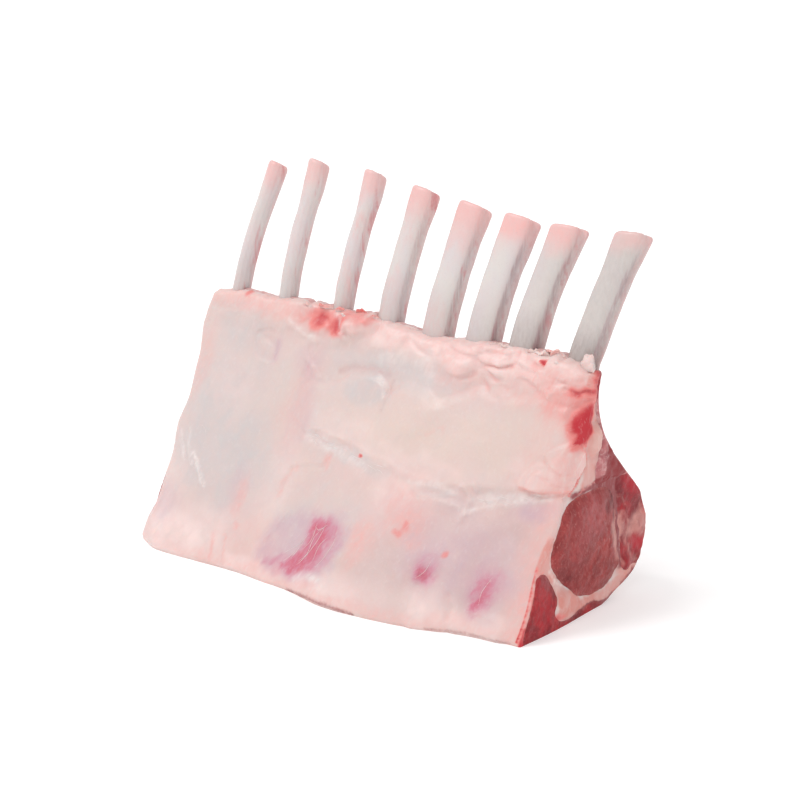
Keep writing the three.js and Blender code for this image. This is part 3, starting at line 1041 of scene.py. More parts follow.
# Each row gives the values of its mark in the order of the fields above.
CAP_MARKS: Marks = {
    Tint.BLUSH: each(
        Patch, (-91, 70, 5, 12, 0.3), (-97, 12, 4, 15, 0.25), (83, 83, 9, 8, 0.55, 3, 0.9),
        (91, 30, 6, 26, 0.45, 3, 0.9), (-60, 96, 34, 4, 0.55), (31, 41, 12, 8, 0.4, 4),
        (36, 33, 8, 5, 0.45, 4), (18, 27, 6, 7, 0.45, 4), (14, 22, 4, 7, 0.4, 3),
        (-50, 27, 2.4, 6, 0.45, 2), (-47, 16.5, 1.4, 1.2, 0.6, 1), (-36, 62, 7, 16, 0.22),
        (-40, 14, 16, 9, 0.22, 4), (30, 96, 66, 4, 0.35), (84, 90, 14, 7, 0.6), (66, 86, 14, 6, 0.35),
        (36, 86, 12, 6, 0.35), (84, 62, 12, 10, 0.22), (94, 62, 4, 12, 0.5, 1), (10, 3, 95, 3, 0.35),
        (94, 10, 5, 12, 0.5), (-13, 47, 2, 3, 0.5, 1.6),
    ) + each(
        Streak, (((-32, 30), (-31, 36), (-28, 41)), 1.2, 0.4, 1.6), (((-57, 12), (-55, 2)), 0.9, 0.6),
        (((-51, 12), (-48, 2)), 0.7, 0.5), (((31, 65), (36, 68.6), (38, 67)), 0.7, 0.3),
        # Painted shade in the crease under the lower edge of the flap at the right.
        (((76, 53.4), (84, 53), (95, 54.6)), 0.8, 0.8, 0.5),
        (((90, 74), (93, 73), (96, 69.6)), 0.7, 0.7, 0.3),
    ),
    Tint.BRIGHT: each(
        Patch, (-60, 14, 14, 8, 0.5, 4), (-34, 34, 8, 16, 0.35, 4), (28, 42, 14, 6, 0.5, 4),
        (66, 34, 16, 9, 0.35, 5), (54, 9, 8, 8, 0.75, 2), (74, 6, 14, 4, 0.7, 2), (-78, 8, 20, 8, 0.8),
        (-88, 24, 10, 12, 0.3), (-74, 62, 12, 10, 0.4, 5), (46, 95, 30, 6, 0.9, 3), (78, 94, 20, 4, 0.6, 3),
        (8, 95, 30, 5, 0.7, 3), (-70, 96, 24, 3, 0.5, 2), (2, 7, 30, 6, 0.7, 2), (-40, 4, 20, 3, 0.7, 2),
        (84, 58, 12, 5, 0.5, 3), (30, 54, 30, 4, 0.4, 3), (-10, 60, 16, 6, 0.4, 4),
    ),
    # Painted shade: rose lines in the creases under the lower edges of the flaps at the right.
    Tint.ROSE: each(
        Streak, (((76, 52.4), (84, 52.2), (93, 53.2), (97, 54)), 0.7, 0.45, 0.5),
        (((83, 60.6), (88, 58.2), (93, 56)), 0.45, 0.3, 0.5),
        (((84, 66), (90, 62.4), (96, 59.6)), 0.45, 0.25, 0.5),
    ),
    Tint.HAZE: each(
        Patch, (50, 32, 30, 11, 0.3, 6), (74, 20, 15, 11, 0.5, 4), (50, 24, 14, 9, 0.5, 3),
        (-33, 58, 6, 12, 0.3), (-36, 78, 6, 8, 0.35, 4), (85, 45.4, 8, 3.6, 0.85, 1.5, 0.7, 12),
        (-88, 18, 8, 7, 0.4), (-52, 29, 5, 7, 0.35),
    ) + each(
        Area,
        (((-34, 14), (-25, 25), (-9, 29), (2, 31), (10, 26), (8, 16), (0, 6), (-12, 5), (-24, 5),
         (-32, 8)), 0.75, 3.5, 2),
    ) + each(
        Streak, (((-56, 82), (-55, 76)), 1.8, 0.7),
    ),
    Tint.BRUISE: each(
        Area, (CORE, 0.9, 4.2, 2.6),
        (((-29, 5.6), (-23, 10.6), (-15, 11.6), (-9, 8), (-20, 5.4)), 0.5, 2.2, 1.8),
        (((-1, 28), (7, 26), (8.6, 19), (5, 12), (-4, 8)), 0.45, 3.4, 2),
    ) + each(
        Streak, (((-5, 26), (-6, 18), (-12, 9)), 3, 0.6, 1.6),
    ) + each(
        Patch, (48.8, 20, 5.2, 4.4, 0.7, 2, 0.95), (47.9, 19, 2.8, 2.5, 0.95, 1.4, 0.9),
        (73, 14.6, 4.4, 6.4, 0.72, 2.6, 0.96, -14), (76, 19, 9, 6, 0.4, 2.4, 0.9), (71.6, 10, 2, 3, 0.5, 1),
        (-37, 77, 2, 3, 0.2, 2.5),
    ),
    Tint.DULL: each(
        Patch, (48.4, 19.8, 5.4, 4.6, 0.85, 1.6, 0.9), (73, 15, 6, 7, 0.55, 1.6, 0.9),
        (80, 28, 20, 18, 0.4, 6), (34, 17, 26, 9, 0.35, 6), (60, 38, 30, 6, 0.2, 6),
    ) + each(
        # Painted shade along the sunken creases above the grey oval and at its right.
        Streak, (((-21, 77.6), (-15, 80.4), (-5, 81.4), (3, 80.6)), 1.2, 0.45, 0.4),
        (((6, 79), (6.4, 74), (6, 69)), 0.8, 0.35, 0.6),
    ),
    Tint.LEAN: each(
        Patch, (48, 19.2, 3.2, 2.9, 0.3, 1.4, 0.9), (73, 14.6, 3.4, 5, 0.12, 1.4, 0.9, -14),
    ) + each(
        Streak, (((-12, 0.4), (0, 1.2), (12, 1.4), (24, 0.6)), 1.2, 0.6, 0.3),
        (((56, 0.8), (72, 1.2), (90, 0.8)), 0.9, 0.4, 0.3),
    ),
    Tint.BLOOD: each(
        Area, (((90, 78), (92.6, 82.4), (97, 84), (101, 80), (100, 71), (96, 69.4), (92.4, 74)), 1, 3, 0.7),
    ) + each(
        Patch, (85, 82, 12, 7, 0.28, 2.4, 0.98), (94, 86, 8, 6, 0.27, 2.4, 0.95),
        (95, 77, 5, 11, 0.28, 1.6, 0.95), (-36, 94, 12, 5, 0.58, 2, 0.9),
        (-27, 92.6, 3.6, 3.6, 0.55, 1.5, 0.8), (-38, 93.6, 3, 2.4, 0.4, 1.5, 0.8),
        (-17, 98, 9, 2.8, 0.46, 2, 0.8), (-77, 97, 1.8, 1.4, 0.5, 1), (72, 98, 1.3, 1.1, 0.9, 1),
        (70, 96, 5, 1.6, 0.3, 1), (3, 52, 1.3, 0.8, 0.7, 1), (32, 30.5, 2.4, 1.6, 0.4, 1.4),
        (34.6, 33.4, 2, 2, 0.4, 1.4), (54.6, 26.4, 2, 1.8, 0.45, 1.4), (15, 22, 1.6, 3, 0.25, 1.4),
    ) + each(
        Streak, (((87, 90), (90, 89), (93, 90), (98, 88)), 1.5, 0.55, 0.8),
    ),
    Tint.GREY: each(
        Patch, (-68, 42, 24, 20, 0.8, 7, 0.7, -12), (-87, 52, 8, 16, 0.55, 5), (-64, 34, 12, 12, 0.4, 5),
        (-48, 38, 9, 10, 0.4, 4), (-76, 84, 10, 10, 0.5, 5), (-20, 21, 10, 7, 0.7, 2, 0.7, 20),
        (-12, 33, 26, 8, 0.3, 5), (-30, 70, 30, 18, 0.25, 6), (-68, 74, 16, 14, 0.35, 6),
        (-4, 83.6, 22, 4, 0.55, 3), (16, 82.6, 18, 5, 0.65, 3), (0, 50.6, 16, 2.4, 0.6, 2, 0.7, -6),
        (80, 48.6, 14, 2.6, 0.5, 3, 0.7, 8),
    ) + each(
        Area, (OVAL, 0.6, 1.8, 0.4), (FRONT_SHELF, 0.5, 1, 0.8),
    ),
    Tint.CREAM: each(Patch, (24, 64, 46, 10, 0.6, 6), (70, 70, 26, 10, 0.35, 6), (-45, 60, 18, 14, 0.3, 6)),
    Tint.WHITE: each(
        Streak, (((-26, 53.6), (-16, 52), (-4, 50.6), (6, 48.6)), 2, 0.4),
        (((30, 48), (42, 49.4), (50, 47)), 1.3, 0.35, 1.2),
        (((56, 41), (67, 45.6), (77, 48), (90, 52)), 1.4, 0.4, 1),
        (((58, 46), (70, 49), (84, 51)), 1.5, 0.3, 1.2), (((36, 44), (48, 44.4), (54, 43)), 1.0, 0.3, 1),
        (NECK_VEINS[0], 0.8, 0.45), (NECK_VEINS[1], 0.7, 0.45), (NECK_VEINS[2], 0.8, 0.7),
        # Painted highlight along the grey oval's right rim.
        (((-1, 79.4), (4, 77), (4.6, 73.4)), 0.6, 0.5, 0.3),
        (((-53, 91.5), (-45, 88.6), (-37, 87.6)), 0.8, 0.4),
        (((-31, 98), (-27, 96), (-24, 92)), 1.2, 0.5, 0.4), (((-10, 5.6), (-4, 8.4), (3, 8.6)), 1.4, 0.5),
        (((-2, 86), (9, 88.4), (19, 88.2), (23, 84)), 2.4, 0.3, 1.4),
    ),
}

END_MARKS: Marks = {
    Tint.LEAN: each(
        Streak, (((30, 51), (40, 51.2), (50, 51.2), (62, 51)), 1.5, 1, 0.3),
        (((60.4, 28), (61.6, 20), (62.4, 14)), 1.6, 0.9, 0.6),
        (((15, 0.5), (30, 0.6), (50, 0.8), (62, 2.6)), 1.5, 0.9, 0.4), (((64, 4), (72, 9)), 1.6, 0.9, 0.6),
        (((47, 52), (45.6, 58), (47.4, 66), (47, 74)), 1.3, 0.2, 1),
    ) + each(
        Area,
        (((44, 53), (58, 53.4), (66, 52.4), (64, 40), (63, 24), (57.4, 24), (56, 40), (50, 46),
         (44, 48)), 1, 0.6, 0.3),
        (((33, 1), (33, 2.6), (43, 4), (53, 2.4), (62, 3.6), (60, -2)), 0.9, 0.5, 0.6),
        (((51.4, 76), (52.6, 66), (52.2, 60), (51.2, 50), (76, 48), (72, 62), (60, 78)), 1, 1.2, 1.2),
    ) + each(
        Patch, (58, 14, 6, 2, 0.4, 1.5),
    ),
    Tint.HAZE: each(
        Patch, (43, 40, 13, 7, 0.45, 5, 0.7, -12), (31, 30, 7, 7, 0.2, 5), (13, 20, 3, 5, 0.4, 3),
    ),
    Tint.DULL: each(
        # The patches at (57, 31) and (54, 41) are painted shade in crevices at the eye's right border.
        Patch, (28, 18, 9, 6, 0.5, 4), (57, 31, 2.4, 2, 0.8, 1.4), (54, 41, 2, 3, 0.6, 1.4),
        (60, 52, 4, 8, 0.5, 2),
    ) + each(
        # Painted shade in the cleft along the eye's right border.
        Streak, (((55.6, 47), (57.6, 40), (57.4, 32), (55, 25)), 1.1, 0.75, 1.4),
    ),
    Tint.CREAM: each(
        Area, (((56, 35), (61.6, 35), (65.4, 30.6), (62.6, 26), (59, 23), (55.6, 27)), 0.7, 2.2, 2.2),
        (((65, 28), (71.7, 31.6), (84, 30.4), (84, 24), (72, 22.6)), 0.62, 3, 2.4),
    ) + each(
        Streak, (((56, 26), (58.6, 20), (63, 14.6)), 1.6, 0.5, 2),
        (((60, 37), (66, 32), (74, 29)), 1.4, 0.45, 2), (((66, 24), (69, 17), (74, 13)), 1.2, 0.4, 2),
        (((56, 47), (62, 43), (66, 38)), 0.7, 0.3, 1.6),
    ) + each(
        Patch, (79, 33, 3, 5, 0.5, 2),
    ),
    Tint.ROSE: each(
        Area, (((21, 14), (28, 13.6), (36, 7.5), (33.5, 3.4), (28, 1.4), (21, 4)), 0.95, 0.6, 0.8),
        (((34, 7), (44, 6.8), (56, 8), (70, 12), (80, 9), (64, 3), (54, 2), (42, 2),
         (32, 2)), 0.9, 0.8, 1.2),
        (((36, 52), (40, 52), (48, 54), (50, 104), (36, 104), (40, 78), (39, 64)), 0.75, 1.2, 1.5),
        (((12, 36), (17, 38), (15.2, 28), (19, 22), (26, 15), (22, 11), (16, 20), (8, 27)), 0.75, 0.8, 0.8),
    ) + each(
        Patch, (64, 12, 4, 3, 0.9, 1), (46, 60, 3, 8, 0.5, 2),
    ),
    Tint.BLUSH: each(Patch, (13, 34, 5, 6, 0.8, 1.5)),
    Tint.WHITE: each(Streak, (((14.8, 25.4), (19.2, 19.6), (28, 14.6)), 0.6, 0.5, 0.4)),
    Tint.BLOOD: each(
        Patch, (75, 20, 4.4, 4, 0.9, 2), (80, 38, 3, 8, 0.6, 1.5), (74, 45, 7, 6, 0.7, 2),
        (68, 49, 6, 5, 0.5, 2), (10, 10, 5, 9, 0.4, 3), (21, 4.6, 3, 2, 0.6, 1), (49, 92, 5, 7, 0.8, 2),
    ) + each(
        Streak, (((34, 51), (40, 52), (46, 53)), 0.8, 0.4),
    ),
}

OVERHANG_MARKS: Marks = {
    Tint.BLUSH: each(
        Area, (OVERHANG, 0.55, 1, 0.5),
    ) + each(
        # Painted shade in the groove round the cream lobe.
        Streak, (((40.4, 76), (40, 67), (42.6, 63.6), (46, 64)), 0.6, 0.6, 0.3),
    ),
    Tint.BRIGHT: each(Area, (OVERHANG, 0.5, 1, 0.5), (CREAM_LOBE, 0.3, 1.2, 0.3)),
    Tint.CREAM: each(Area, (CREAM_LOBE, 0.95, 0.6, 0.3)),
    Tint.DULL: each(
        # Painted shade in the groove round the cream lobe.
        Streak, (((40, 76), (39.4, 68), (42, 62.6), (46, 63)), 0.9, 0.7, 0.3),
    ) + each(
        Area, (GREY_LUMP, 0.8, 0.6, 0.3),
    ),
    Tint.GREY: each(Area, (GREY_LUMP, 0.5, 0.6, 0.3)),
    Tint.BLOOD: each(
        Area,
        (((26, 81), (29.5, 86), (33, 85.6), (37, 80), (37.8, 76), (36.6, 71), (31, 71.4),
         (26, 78)), 0.95, 0.8, 0.6),
    ) + each(
        Patch, (39, 84, 6, 6, 0.36, 1.5, 0.9),
    ) + each(
        Streak, (((38.4, 72), (38.8, 64.3), (37.8, 60), (33, 55), (28.3, 52)), 0.7, 0.6, 0.3),
        (((-5, 1), (0, 11), (6, 22), (9, 28)), 0.9, 0.9, 0.3),
    ),
}


def srgb(red: int, green: int, blue: int) -> Colour:
    """Linear colour of a screen colour.

    Args:
        red: red, from 0 to 255.
        green: green, from 0 to 255.
        blue: blue, from 0 to 255.

    Returns:
        The linear colour, fully opaque.
    """
    dark, slope, offset, power = 10, 12.92, 0.055, 2.4
    linear = (
        (c / 255 / slope) if c <= dark else ((c / 255 + offset) / (1 + offset)) ** power
        for c in (red, green, blue)
    )
    return (*linear, 1.0)


class Recipe:
    """A material that is written node by node, with colours laid over each other."""

    def __init__(self, name: str, colour: Colour) -> None:
        """Starts a material with its shader and lowest colour.

        Args:
            name: name of the material.
            colour: the lowest colour.
        """
        self.colour: Socket | Colour = colour
        self.normal: Socket | None = None
        self.material = bpy.data.materials.new(name)
        self.material.use_nodes = True
        self.tree = self.material.node_tree
        self.tree.nodes.clear()
        self.shader = self.add("ShaderNodeBsdfPrincipled")
        output = self.add("ShaderNodeOutputMaterial")
        self.tree.links.new(self.shader.outputs["BSDF"], output.inputs["Surface"])
        self.place = self.add("ShaderNodeTexCoord").outputs["Object"]

    def add(self, kind: str) -> bpy.types.Node:
        """A new node of a kind."""
        return self.tree.nodes.new(kind)

    def put(self, socket: Socket, value: "Socket | float | tuple") -> None:
        """Links a socket to another, or sets its own value.

        Args:
            socket: the input.
            value: the output that is linked to it, or its own value.
        """
        if isinstance(value, bpy.types.NodeSocket):
            self.tree.links.new(value, socket)
        else:
            socket.default_value = value

    def noise(
        self,
        size: float,
        detail: float = 3,
        rough: float = 0.5,
        warp: float = 0,
        stretch: Triple = (1, 1, 1),
        turn: Triple = (0, 0, 0),
    ) -> Socket:
        """Noise on the piece's own coordinates.

        Args:
            size: width of its features in millimetres.
            detail: how many finer layers.
            rough: how strong they are.
            warp: how far it is distorted.
            stretch: how much longer its features are along each axis.
            turn: how the axes are turned, in degrees.

        Returns:
            The noise, about 0.5 on average.
        """
        node = self.add("ShaderNodeTexNoise")
        node.inputs["Scale"].default_value = 1000 / size
        node.inputs["Detail"].default_value = detail
        node.inputs["Roughness"].default_value = rough
        node.inputs["Distortion"].default_value = warp
        self.tree.links.new(self.mapped(stretch, turn), node.inputs["Vector"])
        return node.outputs["Fac"]

    def cells(self, size: float, stretch: Triple) -> Socket:
        """Distance to the middle of the nearest of many cells.

        Args:
            size: width of a cell in millimetres.
            stretch: how much longer the cells are along each axis.

        Returns:
            The distance, in widths of a cell.
        """
        node = self.add("ShaderNodeTexVoronoi")
        node.inputs["Scale"].default_value = 1000 / size
        self.tree.links.new(self.mapped(stretch, (0, 0, 0)), node.inputs["Vector"])
        return node.outputs["Distance"]

    def mapped(self, stretch: Triple, turn: Triple) -> Socket:
        """The piece's coordinates, turned and drawn out.

        Args:
            stretch: how much longer features are along each axis.
            turn: how the axes are turned, in degrees.

        Returns:
            The coordinates.
        """
        if stretch == (1, 1, 1) and turn == (0, 0, 0):
            return self.place
        node = self.add("ShaderNodeMapping")
        node.vector_type = "TEXTURE"
        node.inputs["Scale"].default_value = stretch
        node.inputs["Rotation"].default_value = tuple(math.radians(a) for a in turn)
        self.tree.links.new(self.place, node.inputs["Vector"])
        return node.outputs["Vector"]

    def painted(self, name: str) -> Socket:
        """A value painted on the piece.

        Args:
            name: the attribute.

        Returns:
            The value.
        """
        node = self.add("ShaderNodeAttribute")
        node.attribute_name = name
        return node.outputs["Fac"]

    def spread(self, value: Socket, low: float, high: float, start: float = 0, end: float = 1) -> Socket:
        """A smooth step of a value between two levels.

        Args:
            value: the value.
            low: where the step starts.
            high: where it ends.
            start: the level below low.
            end: the level above high.

        Returns:
            The stepped value.
        """
        node = self.add("ShaderNodeMapRange")
        node.interpolation_type = "SMOOTHSTEP"
        self.put(node.inputs["Value"], value)
        for key, number in (("From Min", low), ("From Max", high), ("To Min", start), ("To Max", end)):
            node.inputs[key].default_value = number
        return node.outputs["Result"]

    def sum(self, how: str, first: "Socket | float", second: "Socket | float") -> Socket:
        """Arithmetic on two values.

        Args:
            how: the operation.
            first: the first value.
            second: the second value.

        Returns:
            The result.
        """
        node = self.add("ShaderNodeMath")
        node.operation = how
        self.put(node.inputs[0], first)
        self.put(node.inputs[1], second)
        return node.outputs[0]

    def lay(self, tone: Colour, share: Socket) -> None:
        """Lays a colour over the ones so far.

        Args:
            tone: the colour.
            share: how much of it shows, from 0 to 1.
        """
        node = self.add("ShaderNodeMix")
        node.data_type = "RGBA"
        self.put(node.inputs["Factor"], share)
        self.put(node.inputs[6], self.colour)
        self.put(node.inputs[7], tone)
        self.colour = node.outputs[2]

    def tinted(self, name: str, uneven: Socket, reach: float) -> Socket:
        """A painted tint, stronger and weaker with a noise.

        Args:
            name: the painted tint.
            uneven: the noise.
            reach: how much the noise changes the tint.

        Returns:
            A share from 0 to 1.
        """
        change = self.spread(uneven, 0.25, 0.75, 1 - reach, 1 + reach * 0.6)
        node = self.sum("MULTIPLY", self.painted(name), change)
        node.node.use_clamp = True
        return node

    def patchy(self, name: str, ragged: Socket, reach: float) -> Socket:
        """A painted tint whose border is broken up.

        Args:
            name: the painted tint.
            ragged: noise that breaks it up.
            reach: how deep the noise bites.

        Returns:
            A share from 0 to 1.
        """
        bite = self.sum("MULTIPLY", self.sum("SUBTRACT", ragged, 0.5), reach)
        share = self.painted(name)
        edge = self.spread(share, 0, 0.3)
        moved = self.sum("ADD", share, self.sum("MULTIPLY", bite, edge))
        return self.spread(moved, 0.02, 1)

    def bump(self, height: Socket, strength: float, depth: float) -> None:
        """Bumps the normal, over the bumps so far.

        Args:
            height: the height, from 0 to 1.
            strength: share of the bump.
            depth: its full height in millimetres.
        """
        node = self.add("ShaderNodeBump")
        node.inputs["Strength"].default_value = strength
        node.inputs["Distance"].default_value = depth * MM
        self.put(node.inputs["Height"], height)
        if self.normal is not None:
            self.put(node.inputs["Normal"], self.normal)
        self.normal = node.outputs["Normal"]

    def finish(self, rough: Socket, **plain: "float | tuple") -> bpy.types.Material:
        """Connects the shader and sets its plain values.

        Args:
            rough: the roughness.
            plain: values of the shader's other sockets, with _ for a space.

        Returns:
            The material.
        """
        self.put(self.shader.inputs["Base Color"], self.colour)
        self.put(self.shader.inputs["Roughness"], rough)
        self.put(self.shader.inputs["Normal"], self.normal)
        for key, value in plain.items():
            self.shader.inputs[key.replace("_", " ")].default_value = value
        return self.material


@dataclass(frozen=True)
class RawFat:
    """Moist raw fat: off-white and pink, veined, bruised in places, with a faint lengthwise grain."""

    pink: Colour = srgb(216, 189, 184)
    pale: Colour = srgb(215, 192, 188)
    cream: Colour = srgb(218, 196, 186)
    bright: Colour = srgb(236, 211, 207)
    grey: Colour = srgb(201, 191, 190)
    blush: Colour = srgb(228, 170, 164)
    haze: Colour = srgb(200, 170, 178)
    lilac: Colour = srgb(202, 136, 156)
    bruise: Colour = srgb(200, 84, 104)
    flush: Colour = srgb(226, 132, 127)
    blood: Colour = srgb(190, 30, 44)
    lean: Colour = srgb(140, 44, 48)
    white: Colour = srgb(230, 219, 216)
    dull: Colour = srgb(192, 158, 156)
    rose: Colour = srgb(212, 140, 130)

    def material(self) -> bpy.types.Material:
        """Builds the material.

        Returns:
            The material.
        """
        r = Recipe("raw_fat", self.pink)
        broad = r.noise(30, 3, 0.5, 0.4)
        middle = r.noise(8, 4, 0.5, 0.6)
        fine = r.noise(1.6, 4, 0.6)
        drape = r.noise(6, 4, 0.5, 0.5, stretch=(1, 1, 5), turn=(0, 12, 0))
        grain = r.noise(1.1, 4, 0.6, 0.3, stretch=(1, 1, 11), turn=(0, 18, 0))
        fibre = r.noise(2.2, 4, 0.55, 0.6, stretch=(1, 1, 5), turn=(0, 24, 0))
        r.lay(self.pale, r.spread(broad, 0.35, 0.65))
        r.lay(self.cream, r.spread(middle, 0.45, 0.7, 0, 0.3))
        r.lay(self.cream, r.tinted("cream", broad, 0.4))
        r.lay(self.bright, r.tinted("bright", middle, 0.4))
        r.lay(self.grey, r.spread(drape, 0.5, 0.75, 0, 0.18))
        r.lay(self.grey, r.tinted("grey", drape, 0.35))
        # Dull: darker fat in places, and painted shade along some creases.
        r.lay(self.dull, r.tinted("dull", middle, 0.4))
        r.lay(self.haze, r.tinted("haze", drape, 0.4))
        r.lay(self.blush, r.tinted("blush", fibre, 0.5))
        # Painted shade: blush laid into the creases of the cap, more in deeper ones.
        r.lay(self.blush, r.sum("MULTIPLY", r.painted("crease_shade"), 0.6))
        # Rose: rosy fat on the cut faces, and on the cap painted shade in the creases under the flaps.
        r.lay(self.rose, r.tinted("rose", middle, 0.4))
        bruise = r.tinted("bruise", fibre, 0.3)
        r.lay(self.lilac, r.spread(bruise, 0, 0.9))
        r.lay(self.bruise, r.spread(bruise, 0.35, 1.2, 0, 0.8))
        r.lay(self.lean, r.patchy("lean", fine, 0.7))
        blood = r.patchy("blood", middle, 0.3)
        r.lay(self.flush, r.spread(blood, 0, 0.6))
        r.lay(self.blood, r.spread(blood, 0.45, 1))
        # White: films and fibres, and a painted highlight on the grey oval's rim.
        r.lay(self.white, r.tinted("white", fibre, 0.8))
        r.lay(self.white, r.spread(grain, 0.5, 0.8, 0, 0.2))
        r.lay(self.blush, r.spread(fine, 0.6, 0.8, 0, 0.08))
        rough = r.spread(middle, 0.3, 0.7, 0.42, 0.56)
        r.bump(middle, 0.4, 0.6)
        r.bump(drape, 0.45, 0.7)
        r.bump(grain, 0.2, 0.2)
        r.bump(fine, 0.15, 0.15)
        return r.finish(rough, Subsurface_Weight=0.3, Subsurface_Radius=(1.0, 0.45, 0.35),
                        Subsurface_Scale=0.0025, Coat_Weight=0.1, Coat_Roughness=0.26)


@dataclass(frozen=True)
class LeanMeat:
    """Moist lean meat cut across its grain: fine short fibres, paler threads, darker cells."""

    name: str
    dark: Colour
    red: Colour
    thread: Colour
    lean_to: Triple
    threads: float
    haze: Colour = srgb(168, 84, 88)
    dull: Colour = srgb(96, 18, 24)
    rim: Colour = srgb(196, 120, 114)
    cream: Colour = srgb(206, 144, 136)
    blood: Colour = srgb(178, 24, 40)

    def material(self) -> bpy.types.Material:
        """Builds the material.

        Returns:
            The material.
        """
        r = Recipe(self.name, self.dark)
        broad = r.noise(14, 4, 0.6, 0.5)
        middle = r.noise(3.2, 4, 0.6, 0.8)
        fibre = r.noise(0.8, 4, 0.66, 0.8, stretch=(1, 1, 1.9), turn=self.lean_to)
        cell = r.cells(1.5, (1, 1, 1.8))
        r.lay(self.red, r.spread(broad, 0.35, 0.68))
        r.lay(self.red, r.spread(middle, 0.52, 0.75, 0, 0.5))
        r.lay(self.dark, r.spread(cell, 0.45, 0.8, 0, 0.5))
        r.lay(self.thread, r.spread(fibre, 0.55, 0.68, 0, self.threads))
        r.lay(self.haze, r.tinted("haze", middle, 0.8))
        # Dull: darker lean low on the bone side, and painted shade in crevices of the cut face.
        r.lay(self.dull, r.tinted("dull", middle, 0.6))
        edge = r.painted("edge")
        r.lay(self.rim, r.sum("MULTIPLY", edge, r.spread(middle, 0.4, 0.7, 0, 0.4)))
        r.lay(self.cream, r.patchy("cream", middle, 0.9))
        r.lay(self.blood, r.patchy("blood", middle, 0.8))
        rough = r.spread(middle, 0.35, 0.7, 0.3, 0.46)
        r.bump(middle, 0.5, 0.5)
        r.bump(fibre, 0.45, 0.3)
        r.bump(cell, 0.2, 0.2)
        return r.finish(rough, Subsurface_Weight=0.15, Subsurface_Radius=(1.0, 0.25, 0.2),
                        Subsurface_Scale=0.002, Coat_Weight=0.08, Coat_Roughness=0.2, Specular_IOR_Level=0.25)


@dataclass(frozen=True)
class Bone:
    """Scraped rib bone: satin ivory, pink at the sawn tip, mauve and painted shade along its groove."""

    ivory: Colour = srgb(214, 206, 202)
    mauve: Colour = srgb(212, 202, 202)
    pink: Colour = srgb(232, 178, 174)
    groove: Colour = srgb(158, 126, 130)
    streak: Colour = srgb(204, 118, 122)
    marrow: Colour = srgb(196, 96, 92)
    root: Colour = srgb(168, 156, 152)
    rose: Colour = srgb(220, 184, 182)
    speck: Colour = srgb(190, 172, 172)

    def material(self) -> bpy.types.Material:
        """Builds the material.

        Returns:
            The material.
        """
        r = Recipe("scraped_bone", self.ivory)
        broad = r.noise(14, 3, 0.5, stretch=(1, 1, 2.5))
        long = r.noise(1.4, 5, 0.65, 0.2, stretch=(1, 1, 9))
        fine = r.noise(0.7, 3, 0.6)
        r.lay(self.mauve, r.spread(broad, 0.35, 0.65))
        r.lay(self.root, r.tinted("root", long, 0.3))
        tip = r.sum("MULTIPLY", r.painted("tip"), r.spread(long, 0.2, 0.7, 0.75, 1))
        r.lay(self.pink, tip)
        r.lay(self.rose, r.tinted("rose", long, 0.8))
        # Groove: the mauve of the groove, and painted shade on the rib's right side.
        r.lay(self.groove, r.patchy("groove", long, 1.0))
        r.lay(self.streak, r.patchy("streak", long, 1.2))
        r.lay(self.marrow, r.patchy("marrow", fine, 1.0))
        r.lay(self.speck, r.spread(fine, 0.55, 0.75, 0, 0.25))
        rough = r.spread(long, 0.35, 0.65, 0.34, 0.5)
        r.bump(long, 0.35, 0.3)
        r.bump(fine, 0.25, 0.15)
        return r.finish(rough, Subsurface_Weight=0.15, Subsurface_Radius=(1.0, 0.5, 0.4),
                        Subsurface_Scale=0.0015, Coat_Weight=0.12, Coat_Roughness=0.25)


@dataclass(frozen=True)
class Membrane:
    """Thin moist skin over lean meat: purple and pink, with a whitish film drawn across it."""

    deep: Colour = srgb(126, 44, 54)
    rose: Colour = srgb(188, 112, 114)
    film: Colour = srgb(224, 190, 186)
    lean: Colour = srgb(138, 36, 40)
    blood: Colour = srgb(160, 26, 40)

    def material(self) -> bpy.types.Material:
        """Builds the material.

        Returns:
            The material.
        """
        r = Recipe("membrane", self.deep)
        broad = r.noise(12, 4, 0.6, 0.6)
        fibre = r.noise(2.2, 5, 0.62, 0.9, stretch=(3, 1, 1), turn=(0, 25, 0))
        fine = r.noise(1.5, 3, 0.6)
        r.lay(self.rose, r.spread(broad, 0.35, 0.62))
        r.lay(self.film, r.spread(fibre, 0.4, 0.75, 0, 0.6))
        r.lay(self.film, r.patchy("cream", broad, 0.7))
        r.lay(self.lean, r.patchy("lean", broad, 0.7))
        r.lay(self.rose, r.spread(fibre, 0.5, 0.8, 0, 0.15))
        r.lay(self.blood, r.patchy("blood", fine, 0.8))
        rough = r.spread(broad, 0.35, 0.7, 0.25, 0.4)
        r.bump(fibre, 0.4, 0.35)
        r.bump(fine, 0.25, 0.2)
        return r.finish(rough, Subsurface_Weight=0.15, Subsurface_Radius=(1.0, 0.3, 0.25),
                        Subsurface_Scale=0.002, Coat_Weight=0.08, Coat_Roughness=0.2, Specular_IOR_Level=0.25)


@dataclass(frozen=True)
class WhiteFibre:
    """Moist white connective tissue."""

    white: Colour = srgb(230, 218, 215)
    pink: Colour = srgb(228, 200, 195)

    def material(self) -> bpy.types.Material:
        """Builds the material.

        Returns:
            The material.
        """
        r = Recipe("white_fibre", self.white)
        r.lay(self.pink, r.spread(r.noise(4, 3), 0.4, 0.6))
        rough = r.spread(r.noise(2, 2), 0.3, 0.7, 0.3, 0.45)
        r.bump(r.noise(0.8, 3), 0.2, 0.1)
        return r.finish(rough, Subsurface_Weight=0.3, Subsurface_Radius=(1.0, 0.6, 0.5),
                        Subsurface_Scale=0.001, Coat_Weight=0.15)


